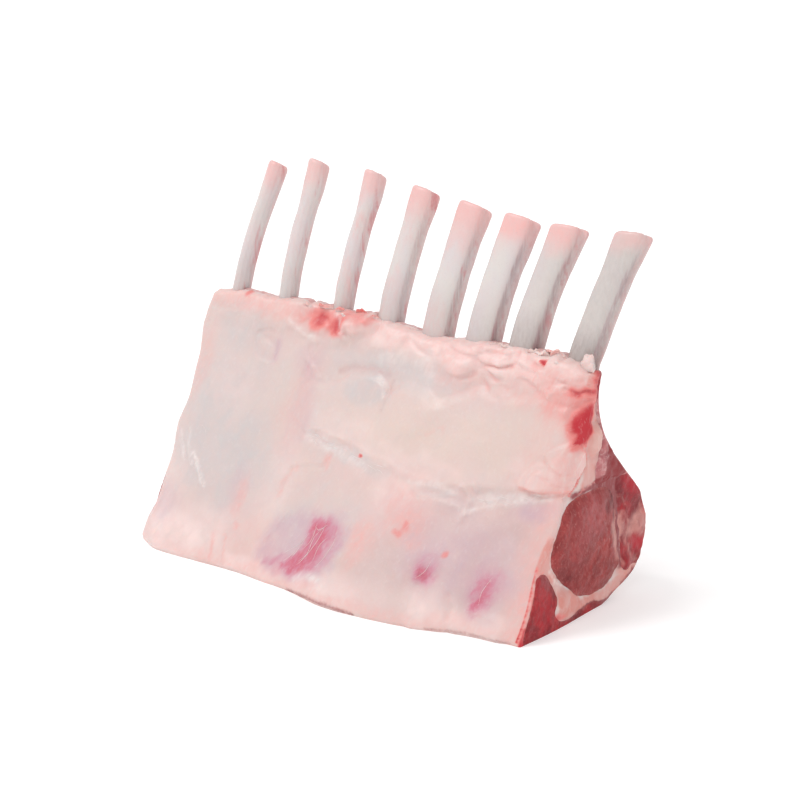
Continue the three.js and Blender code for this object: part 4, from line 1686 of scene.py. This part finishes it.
# ---------------------------------------------------------------- ribs
@dataclass
class Ribs:
    """The eight ribs, each from the chine cut to its sawn tip."""

    tip_z: Row = (145.5, 149, 149, 146.5, 144.4, 143.4, 143.4, 145.4)
    base_x: Row = (-85, -60.5, -32.3, -8, 15.6, 37.4, 57.6, 84.7)
    tip_x: Row = (-82.6, -62.6, -33.6, -7, 18.4, 41.5, 63.6, 92.2)
    width: Row = (6.8, 7.4, 7.8, 10.5, 12.8, 14, 13.8, 13)
    fall: Row = (0.16, 0.14, 0.14, 0.14, 0.14, 0.08, -0.05, -0.1)
    streaks: Row = (0.5, 0.4, 0.45, 0.55, 0.75, 0.25, 0.3, 0.2)
    foot_dark: Row = (0.34, 0.34, 0.34, 0.38, 0.38, 0.4, 0.8, 1)
    grey: Row = (0, 0, 0, 0, 0, 0, 0.2, 0.38)
    tip_reach: Row = (12, 15, 14, 15, 19, 14, 12, 9)
    rosy: Row = (0.25, 0.35, 0.7, 0.45, 0.4, 0.1, 0.05, 0)
    tipped: Row = (0.9, 0.8, 0.85, 1, 1, 1, 0.9, 0.6)
    # Strength of the groove's mauve and painted shade on each rib.
    dark: Row = (0.12, 0.1, 0.15, 0.3, 0.4, 0.55, 0.6, 0.5)
    hollow: Row = (0.6, 0.6, 0.65, 0.8, 0.85, 0.95, 1, 0.8)
    groove: float = 2.7
    thickness: float = 6.4
    twist: float = math.radians(8)
    proud: float = 0.4
    wander: float = 0.5
    flare: float = 0.1
    swell: float = 0.05
    slant_from: float = 14
    saw_marks: float = 0.22
    scraped: float = 0.1
    sawn_at: Row = (0, 2, 5, 9, 13, 17, 19)
    saw_box: Knots = ((83, 22), (97, 22), (97, -20), (30, -20), (30, 0.15), (41, 0.15))
    saw_reach: float = 104
    rim: Knots = (
        (1.3, 0.995), (0.75, 0.97), (0.4, 0.93), (0.12, 0.87), (-0.02, 0.78), (-0.12, 0.64),
        (-0.2, 0.45), (-0.25, 0.2), (-0.25, 0.03),
    )
    below_rim: float = 2
    flares: Pair = (128, 146)
    scraped_band: Pair = (98, 104)
    flank: Pair = (-1.2, 0.3)
    clear_band: Pair = (88, 100)
    meat_band: Pair = (84, 98)
    foot_band: Pair = (96, 118)
    foot_rise: float = 8
    sawn_band: Pair = (-0.9, -0.2)
    marrow_edge: Pair = (0.22, 0.42)
    marrow_share: float = 0.8
    around: int = 52
    sharp: float = 50
    parts: tuple[int, int] = (12, 10)
    line: Curve = Curve(
        ((0, 68), (11, 73), (20, 77), (31, 78), (43, 72.2), (51, 65), (60, 57.8), (66, 54.3),
         (73, 50.8), (82, 48.6), (90, 49), (98, 50.6), (113, 56), (129, 63.5), (150, 75))
    )
    made: list[Piece] = field(default_factory=list)

    def inset(self, i: int) -> float:
        """Depth of the groove along the side of one rib."""
        return self.groove * self.hollow[i] * (self.width[i] / max(self.width)) ** 0.7

    def middle_x(self, i: int, z: Array) -> Array:
        """X of the middle of one rib, which leans from the top of the meat to its tip.

        Args:
            i: which rib, from 0.
            z: heights.

        Returns:
            The place along the spine at each height.
        """
        tip = self.tip_z[i]
        lean = (self.tip_x[i] - self.base_x[i]) / (tip - FORM.top)
        return self.base_x[i] + lean * (np.clip(z, FORM.top, tip) - FORM.top)

    def outline(self, width: float, thickness: float, g: float) -> Array:
        """Section of a rib, with the groove along its side.

        Args:
            width: its width, along the spine.
            thickness: its thickness, towards the bone side.
            g: depth of the groove.

        Returns:
            The points of the section, x and y from its middle.
        """
        w, t = width / 2, thickness / 2
        corners = (
            (-w, -t + 2.3), (-w + 1.3, -t + 0.6), (-0.45 * w, -t - 0.2), (0.1 * w, -t - 0.4),
            (w - g - 1.2, -t + 0.1), (w - g - 0.1, -t + 1), (w - g + 0.1, -t + 2), (w - 0.85 * g, 0.5),
            (w - 0.5 * g, t - 2.3), (w - 0.2, t - 1.9), (w, t - 0.9), (w - 1.3, t), (0, t + 0.3),
            (-w + 1.6, t), (-w, t - 1.6),
        )
        return closed_curve(corners, self.around)

    def rings(self, i: int) -> Array:
        """Rings of one rib, from below the chine cut to the middle of its sawn tip.

        Args:
            i: which rib, from 0.

        Returns:
            Places by ring, by point and by coordinate.
        """
        tip = self.tip_z[i]
        count = math.prod(self.parts) + 1
        body = np.linspace(0, tip - self.below_rim, count - len(self.rim))
        steps = [(z, 1.0) for z in body] + [(tip - down, size) for down, size in self.rim]
        rings = []
        for z, size in steps:
            heights = np.array([z - 1, z, z + 1])
            free = np.column_stack([heights, 0 * heights + 9 * i])
            x = self.middle_x(i, heights)
            x = x + self.wander * noise(free, 17, 62) * ease(heights, FORM.top, FORM.top + 10)
            y = self.line.at(heights)
            along = np.array([x[2] - x[0], y[2] - y[0], 2.0])
            along /= np.linalg.norm(along)
            back = np.array([0, along[2], -along[1]])
            back /= np.linalg.norm(back)
            turn = self.twist * ease(z, FORM.top - 20, FORM.top + 10)
            flare = 1 + self.flare * ease(z, *self.flares)
            p = self.outline(self.width[i] * flare, self.thickness * flare, self.inset(i)) * size
            swell = 1 + self.swell * noise(np.array([[z, 7.0 * i]]), 12, 61, 2)[0]
            p = p * swell
            slant = self.fall[i] * ease(z, tip - self.slant_from, tip)
            across = p[:, 0] * math.cos(turn) - p[:, 1] * math.sin(turn)
            behind = p[:, 0] * math.sin(turn) + p[:, 1] * math.cos(turn)
            ring = np.array([x[1], y[1], z]) + np.outer(behind, back) - np.outer(slant * p[:, 0], along)
            ring[:, 0] += across
            if size < 1:
                ring += np.outer(self.saw_marks * noise(ring, 1.6, 67 + i, 2) * (1 - size**6), along)
            rings.append(ring)
        return np.array(rings)

    def build(self) -> list[Piece]:
        """Builds the ribs, still in section millimetres.

        Returns:
            The eight ribs.
        """
        for i in range(len(self.tip_z)):
            rib = add_tube(f"rib_bone_{i + 1}", self.rings(i), self.parts)
            places = corners_of(rib)
            grain = noise(places / np.array([1, 1, 3.5]), 2.2, 71 + i, 2)
            grain = self.scraped * (grain * ease(places[:, 2], *self.scraped_band))
            move_corners(rib, places + grain[:, None] * corners_of(rib, "normal"))
            self.made.append(rib)
        return self.made

    def saw(self) -> None:
        """Saws the lower ends of the ribs off along the chine cut."""
        z = np.array(self.sawn_at, float)
        line = np.column_stack([FORM.bone_line.at(z) + self.proud, z])
        outline = np.concatenate([line, np.array(self.saw_box)])
        ends = (-self.saw_reach, self.saw_reach)
        rings = np.array([np.column_stack([np.full(len(outline), x, float), outline]) for x in ends])
        chine = add_tube("chine", rings, (1,))
        for rib in self.made:
            cut(rib, chine, Cut.REMOVE)
        bpy.data.objects.remove(chine)

    def dress(self, finish: bpy.types.Material) -> None:
        """Paints the ribs, moves them into the frame and puts them in place of their nodes.

        Args:
            finish: the material of the bone.
        """
        for i, rib in enumerate(self.made):
            p = corners_of(rib)
            tip = self.tip_z[i]
            side = p[:, 0] - self.middle_x(i, p[:, 2])
            depth = p[:, 1] - self.line.at(p[:, 2])
            right = ease(side - self.width[i] / 2 + self.inset(i), *self.flank)
            above = ease(p[:, 2], *self.clear_band)
            within = ease(depth, 0.5 - self.thickness / 2, 1.7 - self.thickness / 2)
            down = tip - p[:, 2] + 3 * noise(p, 5, 73 + i, 2)
            paint(rib, "tip", self.tipped[i] * (1 - ease(down, 0, self.tip_reach[i])))
            # Groove: mauve and painted shade along the rib's right side, weaker towards the tip.
            faint = self.dark[i] * (1 - 0.75 * ease(p[:, 2], tip - 18, tip - 4))
            behind = 1 - 0.55 * ease(depth, 0.6, 2.0)
            paint(rib, "groove", right * within * behind * faint)
            flange = right * ease(depth, 0.8, 2.2) * above
            long = noise(p / np.array([1, 1, 5]), 4, 75 + i, 2)
            covered = 1 - ease(p[:, 2], *self.meat_band)
            faint_rose = (self.rosy[i] + 0.8 * covered) * ease(long, -0.6, 0.6)
            paint(rib, "rose", np.maximum(0.6 * flange, np.minimum(faint_rose, 1)))
            low, high = self.foot_band
            foot = self.foot_dark[i] * (1 - ease(p[:, 2], low, high + self.foot_rise * self.foot_dark[i]))
            paint(rib, "root", np.maximum(foot, self.grey[i]))
            run = noise(p / np.array([1, 1, 6]), 3.0, 79 + i, 2)
            smear = 0.4 * covered * ease(run, 0.1, 0.5) + 0.3 * covered * (1 - ease(depth, -1, 1.4))
            paint(rib, "streak", self.streaks[i] * right * within * ease(run, -0.05, 0.5) + smear)
            face = np.hypot(side / self.width[i], depth / self.thickness)
            sawn = ease(p[:, 2] - tip + side * self.fall[i], *self.sawn_band)
            paint(rib, "marrow", sawn * (1 - ease(face, *self.marrow_edge)) * self.marrow_share)
            hand_over(rib, finish, self.sharp, f"rib_{i + 1}")


# ---------------------------------------------------------------- meat and fat
@dataclass
class Meat:
    """The fat cap and the four muscles, cut from one block so that they meet without a gap."""

    past: float = 6
    past_steps: int = 4
    edge_band: float = 3
    edge_steps: int = 9
    levelled: int = 4
    edge_fade: float = 0.9
    edge_extra: float = 0.2
    face_seeds: tuple[int, int] = (89, 83)
    cap_depth: Pair = (2.5, 5)
    face_depth: Pair = (-2.4, -1.6)
    skin_depth: Pair = (-4, -2.5)
    crown_band: Pair = (93, 96.5)
    rim_width: Pair = (0.3, 1.3)
    parts: tuple[int, int] = (16, 16)
    slab_parts: tuple[tuple[int, ...], ...] = ((1,), (13, 13), (12, 13))
    slab_low: Triple = (-110, -34, -6)
    slab_high: Triple = (110, 96, 108)
    body_rings: int = 16
    sharp: float = 55
    crown: dict[Tint, float] = field(default_factory=lambda: {Tint.CREAM: 0.8, Tint.BLOOD: 0.3})
    skin: dict[tuple[str, Tint], Triple] = field(
        default_factory=lambda: {
            ("back_muscle", Tint.HAZE): (8, 50, 0.95),
            ("back_muscle", Tint.CREAM): (34, 56, 0.3),
            ("back_muscle", Tint.DULL): (26, 4, 0.5),
            ("rib_muscle", Tint.LEAN): (78, 50, 0.75),
            ("fat_cap", Tint.LEAN): (12, 20, 1),
        }
    )
    pieces: dict[str, Piece] = field(default_factory=dict)

    def shares(self) -> Array:
        """Places of the sections along the block, closer together at both cut faces.

        Returns:
            Shares of the length, from before 0 to past 1.
        """
        count = math.prod(self.parts) + 1
        edge = np.linspace(0, self.edge_band, self.edge_steps + 1) / FORM.length
        before = np.linspace(-self.past, 0, self.past_steps + 1)[:-1] / FORM.length
        inner = np.linspace(edge[-1], 1 - edge[-1], count - 2 * (len(before) + len(edge)) + 2)[1:-1]
        half = np.concatenate([before, edge])
        return np.concatenate([half, inner, 1 - half[::-1]])

    def block(self) -> Piece:
        """The whole block between its two cut faces.

        Returns:
            The block, in section millimetres.
        """
        t = self.shares()
        x = between(-FORM.length / 2, FORM.length / 2, t)
        outline = FORM.outlines(x)
        plain = sum(np.roll(outline, k, 1) for k in range(-self.levelled, self.levelled + 1))
        plain = plain / (2 * self.levelled + 1)
        along = np.roll(plain, -2, 1) - np.roll(plain, 2, 1)
        along /= np.linalg.norm(along, axis=2)[..., None]
        inward = np.stack([along[..., 1], -along[..., 0]], -1)
        inward[..., 1] *= ease(outline[..., 1], 0, 3)
        from_end = np.minimum(t, 1 - t) * FORM.length
        rounded_off = FORM.rounding * np.exp(-np.abs(from_end) / self.edge_fade)
        inset = np.where(from_end > 0, rounded_off, FORM.rounding + self.edge_extra)
        outline = outline + inward * inset[:, None, None]
        outline[:, :FORM.front_rows, 0] += FORM.rolled_over(x[:, None], outline[:, :FORM.front_rows, 1])
        y, z = outline[..., 0], outline[..., 1]
        rings = np.stack([FORM.along_spine(t[:, None], y, z), y, z], -1)
        block = add_tube("block", rings, self.parts)
        slab = add_slab("slab", self.slab_low, self.slab_high, self.slab_parts)
        p = corners_of(slab)
        large = p[:, 0] > 0
        y, z = p[:, 1], p[:, 2]
        end = FORM.along_spine(large.astype(float), y, z)
        small_relief, large_relief = (end_relief(y, z, self.face_seeds[side], bool(side)) for side in (0, 1))
        p[:, 0] = end + np.where(large, large_relief, -small_relief)
        move_corners(slab, p)
        cut(block, slab, Cut.KEEP)
        bpy.data.objects.remove(slab)
        return block

    def muscle_body(self, muscle: Muscle) -> Piece:
        """A muscle as one closed body that runs past both cut faces.

        Args:
            muscle: the muscle.

        Returns:
            The body, in section millimetres.
        """
        shares = np.linspace(-self.past, FORM.length + self.past, self.body_rings + 1) / FORM.length
        rings = []
        for t in shares:
            y, z = muscle.outline(t).T
            rings.append(np.column_stack([FORM.along_spine(t, y, z), y, z]))
        return add_tube(muscle.name + "_body", np.array(rings), (self.body_rings,))

    def build(self, ribs: Sequence[Piece]) -> None:
        """Builds the fat and the muscles.

        Args:
            ribs: the ribs, which leave their own room in the meat.
        """
        block = self.block()
        LOG.info("block: %d faces", len(block.data.polygons))
        fat = copy_of(block, "fat")
        bones = joined("bones", [copy_of(rib, "bone") for rib in ribs])
        for muscle in MUSCLES:
            body = self.muscle_body(muscle)
            lean = copy_of(block, muscle.name.replace("muscle", "meat"))
            cut(lean, body, Cut.KEEP)
            cut(fat, body, Cut.REMOVE)
            if muscle in (BACK, RIB_MEAT):
                cut(lean, bones, Cut.REMOVE)
            bpy.data.objects.remove(body)
            self.pieces[muscle.name] = lean
        cut(fat, bones, Cut.REMOVE)
        self.pieces["fat_cap"] = fat
        for tool in (block, bones):
            bpy.data.objects.remove(tool)

    def colour_in(self, node: str, piece: Piece) -> None:
        """Paints every tint on a piece, the painted shade in the cap's creases and the edge that its material
        reads.

        Args:
            node: the node that it replaces.
            piece: the piece, in section millimetres.
        """
        x, y, z = corners_of(piece).T
        within = np.clip(x, -FORM.length / 2, FORM.length / 2)
        on_cap = 1 - ease(y - FORM.slope(within, z) - FORM.rolled_over(within, z), *self.cap_depth)
        large = np.where(x > 0, 1.0, 0.0)
        outward = (x - FORM.along_spine(large, y, z)) * np.where(x > 0, 1, -1)
        on_end = ease(outward, *self.face_depth)
        behind = ease(y - FORM.bone_side(within, z), *self.skin_depth) * (1 - on_end)
        uneven = z + 7 * noise_on(x, z, 13, 91, 3)
        for tint in Tint:
            side = painted(END_MARKS, tint, y, z)
            side = np.maximum(side, painted(OVERHANG_MARKS, tint, y, z) * large) * on_end
            side = side * np.where(x < 0, 1 - on_cap, 1)
            if node == "fat_cap":
                side = np.maximum(side, painted(CAP_MARKS, tint, x, z) * on_cap)
            elif node == "rib_muscle":
                side = np.maximum(side, self.crown.get(tint, 0) * ease(z, *self.crown_band))
            if (node, tint) in self.skin:
                low, high, strength = self.skin[node, tint]
                side = np.maximum(side, strength * behind * ease(uneven, low, high))
            if (node, tint) == ("fat_cap", Tint.BLOOD):
                side = np.maximum(side, self.red_edge(outward, x, z, on_cap))
            paint(piece, tint.value, side)
        if node == "fat_cap":
            # Painted shade in the creases of the cap, read from its relief.
            paint(piece, "crease_shade", FORM.crease_shade(x, z) * on_cap)
        outline = next((m.outline(1) for m in MUSCLES if m.name == node), None)
        rim = 0 * x if outline is None else 1 - ease(depth_inside(y, z, outline), *self.rim_width)
        paint(piece, "edge", rim * on_end * (1 - lean_meets(y, z)))

    def red_edge(self, outward: Array, x: Array, z: Array, on_cap: Array) -> Array:
        """The red line where the front muscle shows at the cap's edge.

        Args:
            outward: how far each vertex stands out of its cut face.
            x: its place along the spine.
            z: its height.
            on_cap: share of the cap at each vertex.

        Returns:
            A share of blood for each vertex.
        """
        uneven = 0.75 + 0.5 * noise(np.column_stack([z, 0 * z]), 3, 77, 2)
        low = np.exp(-((outward / 1.1) ** 2)) * (1 - ease(z, 22, 29)) * uneven
        return np.clip(np.where(x > 0, low, 0) * np.clip(on_cap * 2, 0, 1), 0, 1)

    def dress(self, clothes: dict[str, tuple[bpy.types.Material, str]]) -> None:
        """Paints the pieces and puts them in place of their nodes.

        Args:
            clothes: the material of each node, with a material slot name that is not used.
        """
        for node, piece in self.pieces.items():
            finish, slot = clothes[node]
            self.colour_in(node, piece)
            hand_over(piece, finish, self.sharp, node)


@dataclass
class Strands:
    """Thin white fibres of tissue that lie on the cap."""

    drawn: tuple[Knots, ...] = (
        ((-92, 42), (-87, 38), (-83, 34)), ((-86, 44), (-84, 40), (-81, 34), (-77, 32)),
        ((-80, 36), (-75, 33), (-69, 27)), ((-83, 47), (-79, 47), (-76, 44)), ((-90, 23), (-84, 24)),
        ((-10, 20), (-12, 16), (-15, 11)), ((-17, 10), (-14, 8.5), (-9, 8.8)),
        ((-3, 25), (-6, 21), (-7, 15), (-11, 11)), ((1, 23), (-2, 19), (-3, 13)),
        ((-9, 22), (-13, 17), (-20, 12)), ((-1, 27), (-5, 24), (-8, 25)),
        ((-2, 28), (-4, 20), (-9, 12), (-13, 8)), ((-13, 15), (-18, 10), (-24, 8)),
        ((5, 24), (3, 17), (-1, 11)), ((-7, 27), (-7, 20), (-10, 16)), ((50, 24), (49, 20), (46, 17)),
        ((75, 21), (73, 16), (73, 11)),
    )
    wisps: int = 20
    stretches: tuple[Pair, Pair] = ((-30, 44), (56, 34))
    below_step: float = 1.2
    scatter: float = 2.4
    runs: Pair = (4, 6)
    falls: Pair = (-1.6, 1.6)
    radius: float = 0.085
    flat: float = 0.6
    sunk: float = 0.05
    wave: float = 0.3
    outwards: Triple = (0, -0.9, 0.43)
    around: int = 8
    steps: int = 14

    def paths(self) -> list[Knots]:
        """The drawn fibres, and seeded wisps that cross the step of the cap.

        Returns:
            The corners of each fibre, x and z.
        """
        draw = draws(97)
        paths = list(self.drawn)
        for k in range(self.wisps):
            start, span = self.stretches[0 if k % 3 else 1]
            x = start + span * next(draw)
            z = float(FORM.step.at(x)) - self.below_step + self.scatter * (next(draw) - 0.5)
            run, fall = (low + reach * next(draw) for low, reach in (self.runs, self.falls))
            paths.append(((x, z), (x + run / 2, z + fall * next(draw)), (x + run, z + fall)))
        return paths

    def build(self) -> Piece:
        """Builds the fibres as one piece.

        Returns:
            The piece, in section millimetres.
        """
        made = []
        for k, path in enumerate(self.paths()):
            knots = np.array(path, float)
            run = np.concatenate([[0], np.cumsum(np.hypot(*np.diff(knots, axis=0).T))])
            u = np.linspace(0, 1, self.steps + 1)
            bow = [Curve(tuple(zip(run / run[-1], knots[:, c]))).at(u) for c in (0, 1)]
            wave = self.wave * noise(np.column_stack([u * run[-1], u * 0 + k]), 3.2, 101, 2)
            x, z = bow[0] + wave, bow[1] + 0.6 * wave
            y = FORM.cap_front(x, z)
            middle = np.column_stack([x, y - self.sunk, z])
            along = np.gradient(middle, axis=0)
            along /= np.linalg.norm(along, axis=1)[:, None]
            out = np.array(self.outwards)
            side = np.cross(along, out)
            side /= np.linalg.norm(side, axis=1)[:, None]
            angle = np.arange(self.around) / self.around * 2 * np.pi
            thick = self.radius * (0.12 + np.sin(np.pi * np.clip(u, 0.02, 0.98)) ** 0.7)
            rings = (
                middle[:, None]
                + self.flat * thick[:, None, None] * np.cos(angle)[None, :, None] * out
                + thick[:, None, None] * np.sin(angle)[None, :, None] * side[:, None]
            )
            made.append(add_tube(f"strand_{k}", rings, (self.steps,)))
        return joined("cap_fibres", made)


@dataclass(frozen=True)
class Frill:
    """A crumpled scrap of tissue that stands on the rim of the meat."""

    x: float
    y: float
    z: float
    wide: float
    tall: float
    leans: float
    tint: Tint
    share: float
    seed: int


@dataclass
class Tissue:
    """Ragged scraps of fat and lean round the feet of the ribs."""

    frills: tuple[Frill, ...] = each(
        Frill,
        (-47, 47, 97.6, 10, 3.4, -0.4, Tint.BLUSH, 0.7, 3), (-38, 47, 98, 9, 4, -0.5, Tint.BLOOD, 0.45, 4),
        (-29, 46.6, 98, 8, 4.4, -0.5, Tint.BLOOD, 0.5, 5), (-26, 46, 96.6, 5, 5, -0.5, Tint.BRIGHT, 0.6, 6),
        (-20, 48, 98.4, 9, 4.2, -0.3, Tint.BLOOD, 0.6, 7),
        (-13, 46.6, 98.2, 7, 4, -0.6, Tint.BLOOD, 0.55, 8),
        (-73, 47, 96.6, 9, 2.6, -0.5, Tint.BLUSH, 0.6, 9),
        (-56, 48, 97.6, 9, 2.8, -0.4, Tint.BLUSH, 0.6, 10), (5, 48, 97, 9, 3, -0.5, Tint.BLUSH, 0.6, 11),
        (26, 48, 96.6, 9, 3, -0.5, Tint.BRIGHT, 0.6, 12), (48, 47, 99, 8, 3.4, -0.5, Tint.BRIGHT, 0.7, 13),
        (64, 46.6, 99.4, 6, 5, -0.2, Tint.BRIGHT, 0.5, 14),
        (69, 46, 99, 9, 4.4, -0.5, Tint.BRIGHT, 0.8, 15),
        (76, 46.4, 98.6, 8, 5.4, -0.3, Tint.BLUSH, 0.7, 16),
        (80, 45, 97.4, 12, 3.6, -0.9, Tint.BRIGHT, 0.7, 17),
        (72, 47.6, 99.4, 9, 4, -0.4, Tint.BLOOD, 0.35, 20),
        (90, 45.4, 98.4, 7, 8, -0.1, Tint.BRIGHT, 0.5, 18),
        (90.8, 47, 93, 3.6, 6, 0.1, Tint.BLOOD, 0.7, 19),
    )
    rows: int = 20
    columns: int = 30
    thick: float = 0.9
    sunk: float = 1.5
    crumpled: float = 1.7
    narrows: float = 0.15

    def build(self) -> Piece:
        """Builds the scraps as one piece, painted as they are made.

        Returns:
            The piece, in section millimetres.
        """
        made = []
        for frill in self.frills:
            bpy.ops.object.select_all(action="DESELECT")
            bpy.ops.mesh.primitive_grid_add(x_subdivisions=self.columns, y_subdivisions=self.rows, size=2)
            scrap = bpy.context.object
            p = corners_of(scrap)
            u, v = p[:, 0], (p[:, 1] + 1) / 2
            half = frill.wide / 2
            pick = np.column_stack([u * half, v * frill.tall])
            ragged = 0.62 + 0.38 * noise(np.column_stack([u * half, 0 * u]), 2.4, frill.seed, 2)
            tall = frill.tall * v * ragged * (1 - 0.7 * u**4)
            crumple = noise(pick, 4.6, frill.seed + 40, 2)
            x = frill.x + u * half * (1 - self.narrows * v) + 0.8 * v * noise(pick, 4.5, frill.seed + 50)
            y = frill.y + frill.leans * tall + self.crumpled * crumple * (0.4 + v)
            z = frill.z - self.sunk + tall + 0.4 * v * noise(pick, 3.2, frill.seed + 60)
            move_corners(scrap, np.column_stack([x, y, z]))
            only(scrap)
            bpy.ops.object.modifier_add(type="SOLIDIFY")
            work = scrap.modifiers[-1]
            work.thickness = self.thick
            work.offset = 0
            bpy.ops.object.modifier_apply(modifier=work.name)
            height = corners_of(scrap)[:, 2] - frill.z
            for tint in Tint:
                share = frill.share if tint is frill.tint else 0
                paint(scrap, tint.value, share * ease(height, -1, 2))
            # The scraps get no painted crease shade.
            paint(scrap, "crease_shade", 0 * height)
            made.append(scrap)
        return joined("rim_tissue", made)


# ---------------------------------------------------------------- studio
@dataclass(frozen=True)
class Studio:
    """Pale floor, soft light and the camera."""

    azimuth: float = 37.4
    elevation: float = 18.5
    distance: float = 1.42
    target: Triple = (-0.0015, 0.002, 0.0645)
    focal: float = 3580
    shift: Pair = (17, 12.3)
    picture: float = 800
    sensor: float = 36
    glow: float = 0.3
    surround: float = 0.82
    wide: float = 12
    clip: Pair = (0.05, 30)
    white: Colour = (1, 1, 1, 1)
    dim: Colour = (0.8, 0.8, 0.8, 1)
    pale: Colour = (0.82, 0.82, 0.82, 1)
    aim: Triple = (0, 0, 0.05)
    lamps: tuple = (("key", (-0.7, -0.6, 1.9), 0.7, 15), ("side", (1.6, -0.9, 0.8), 0.8, 2))

    def floor(self) -> None:
        """A wide white floor."""
        bpy.ops.object.select_all(action="DESELECT")
        bpy.ops.mesh.primitive_plane_add(size=self.wide, location=(0, 0, 0))
        floor = bpy.context.object
        floor.name = "floor"
        r = Recipe("white_floor", self.dim)
        r.lay(self.pale, r.noise(400, 2))
        rough = r.spread(r.noise(300, 2), 0, 1, 0.85, 0.95)
        r.bump(r.noise(5, 2), 0.02, 0.1)
        floor.data.materials.append(r.finish(rough, Emission_Color=self.white, Emission_Strength=self.glow))

    def camera(self) -> None:
        """The camera at its angle, with a small shift for the framing."""
        a, e = math.radians(self.azimuth), math.radians(self.elevation)
        back = Vector((math.sin(a) * math.cos(e), -math.cos(a) * math.cos(e), math.sin(e)))
        bpy.ops.object.camera_add(location=Vector(self.target) + back * self.distance)
        camera = bpy.context.object
        camera.rotation_mode = "QUATERNION"
        camera.rotation_quaternion = (-back).to_track_quat("-Z", "Y")
        camera.data.sensor_width = self.sensor
        camera.data.lens = self.focal * self.sensor / self.picture
        camera.data.shift_x = self.shift[0] / self.picture
        camera.data.shift_y = self.shift[1] / self.picture
        camera.data.clip_start, camera.data.clip_end = self.clip
        bpy.context.scene.camera = camera

    def light(self) -> None:
        """A bright even surround and two large soft lamps."""
        world = bpy.data.worlds.new("surround")
        world.use_nodes = True
        surround = world.node_tree.nodes["Background"]
        surround.inputs["Color"].default_value = self.white
        surround.inputs["Strength"].default_value = self.surround
        bpy.context.scene.world = world
        for name, place, size, power in self.lamps:
            bpy.ops.object.light_add(type="AREA", location=place)
            lamp = bpy.context.object
            lamp.name = name
            lamp.data.size = size
            lamp.data.energy = power
            lamp.rotation_mode = "QUATERNION"
            lamp.rotation_quaternion = (Vector(place) - Vector(self.aim)).to_track_quat("Z", "Y")
        bpy.context.scene.view_settings.view_transform = "Standard"

    def set_up(self) -> None:
        """Sets up the floor, the camera and the light."""
        self.floor()
        self.camera()
        self.light()


def main() -> None:
    """Builds the rack piece by piece."""
    Studio().set_up()
    ribs = Ribs()
    meat = Meat()
    ribs.build()
    meat.build(ribs.made)
    ribs.saw()
    ribs.dress(Bone().material())
    eye = LeanMeat("eye_lean", srgb(128, 34, 34), srgb(164, 58, 56), srgb(198, 122, 116), (14, 0, 0), 0.5)
    dark = LeanMeat("dark_lean", srgb(120, 14, 24), srgb(170, 28, 36), srgb(194, 92, 94), (-25, 0, 0), 0.3)
    dark_lean = dark.material()
    raw_fat = RawFat().material()
    meat.dress({
        "fat_cap": (raw_fat, "fat"),
        "eye_muscle": (eye.material(), "eye_meat"),
        "front_muscle": (dark_lean, "dark_meat"),
        "back_muscle": (dark_lean, "dark_meat"),
        "rib_muscle": (Membrane().material(), "membrane"),
    })
    hand_over(Strands().build(), WhiteFibre().material(), 60)
    hand_over(Tissue().build(), raw_fat, 60)


if __name__ == "__main__":
    main()
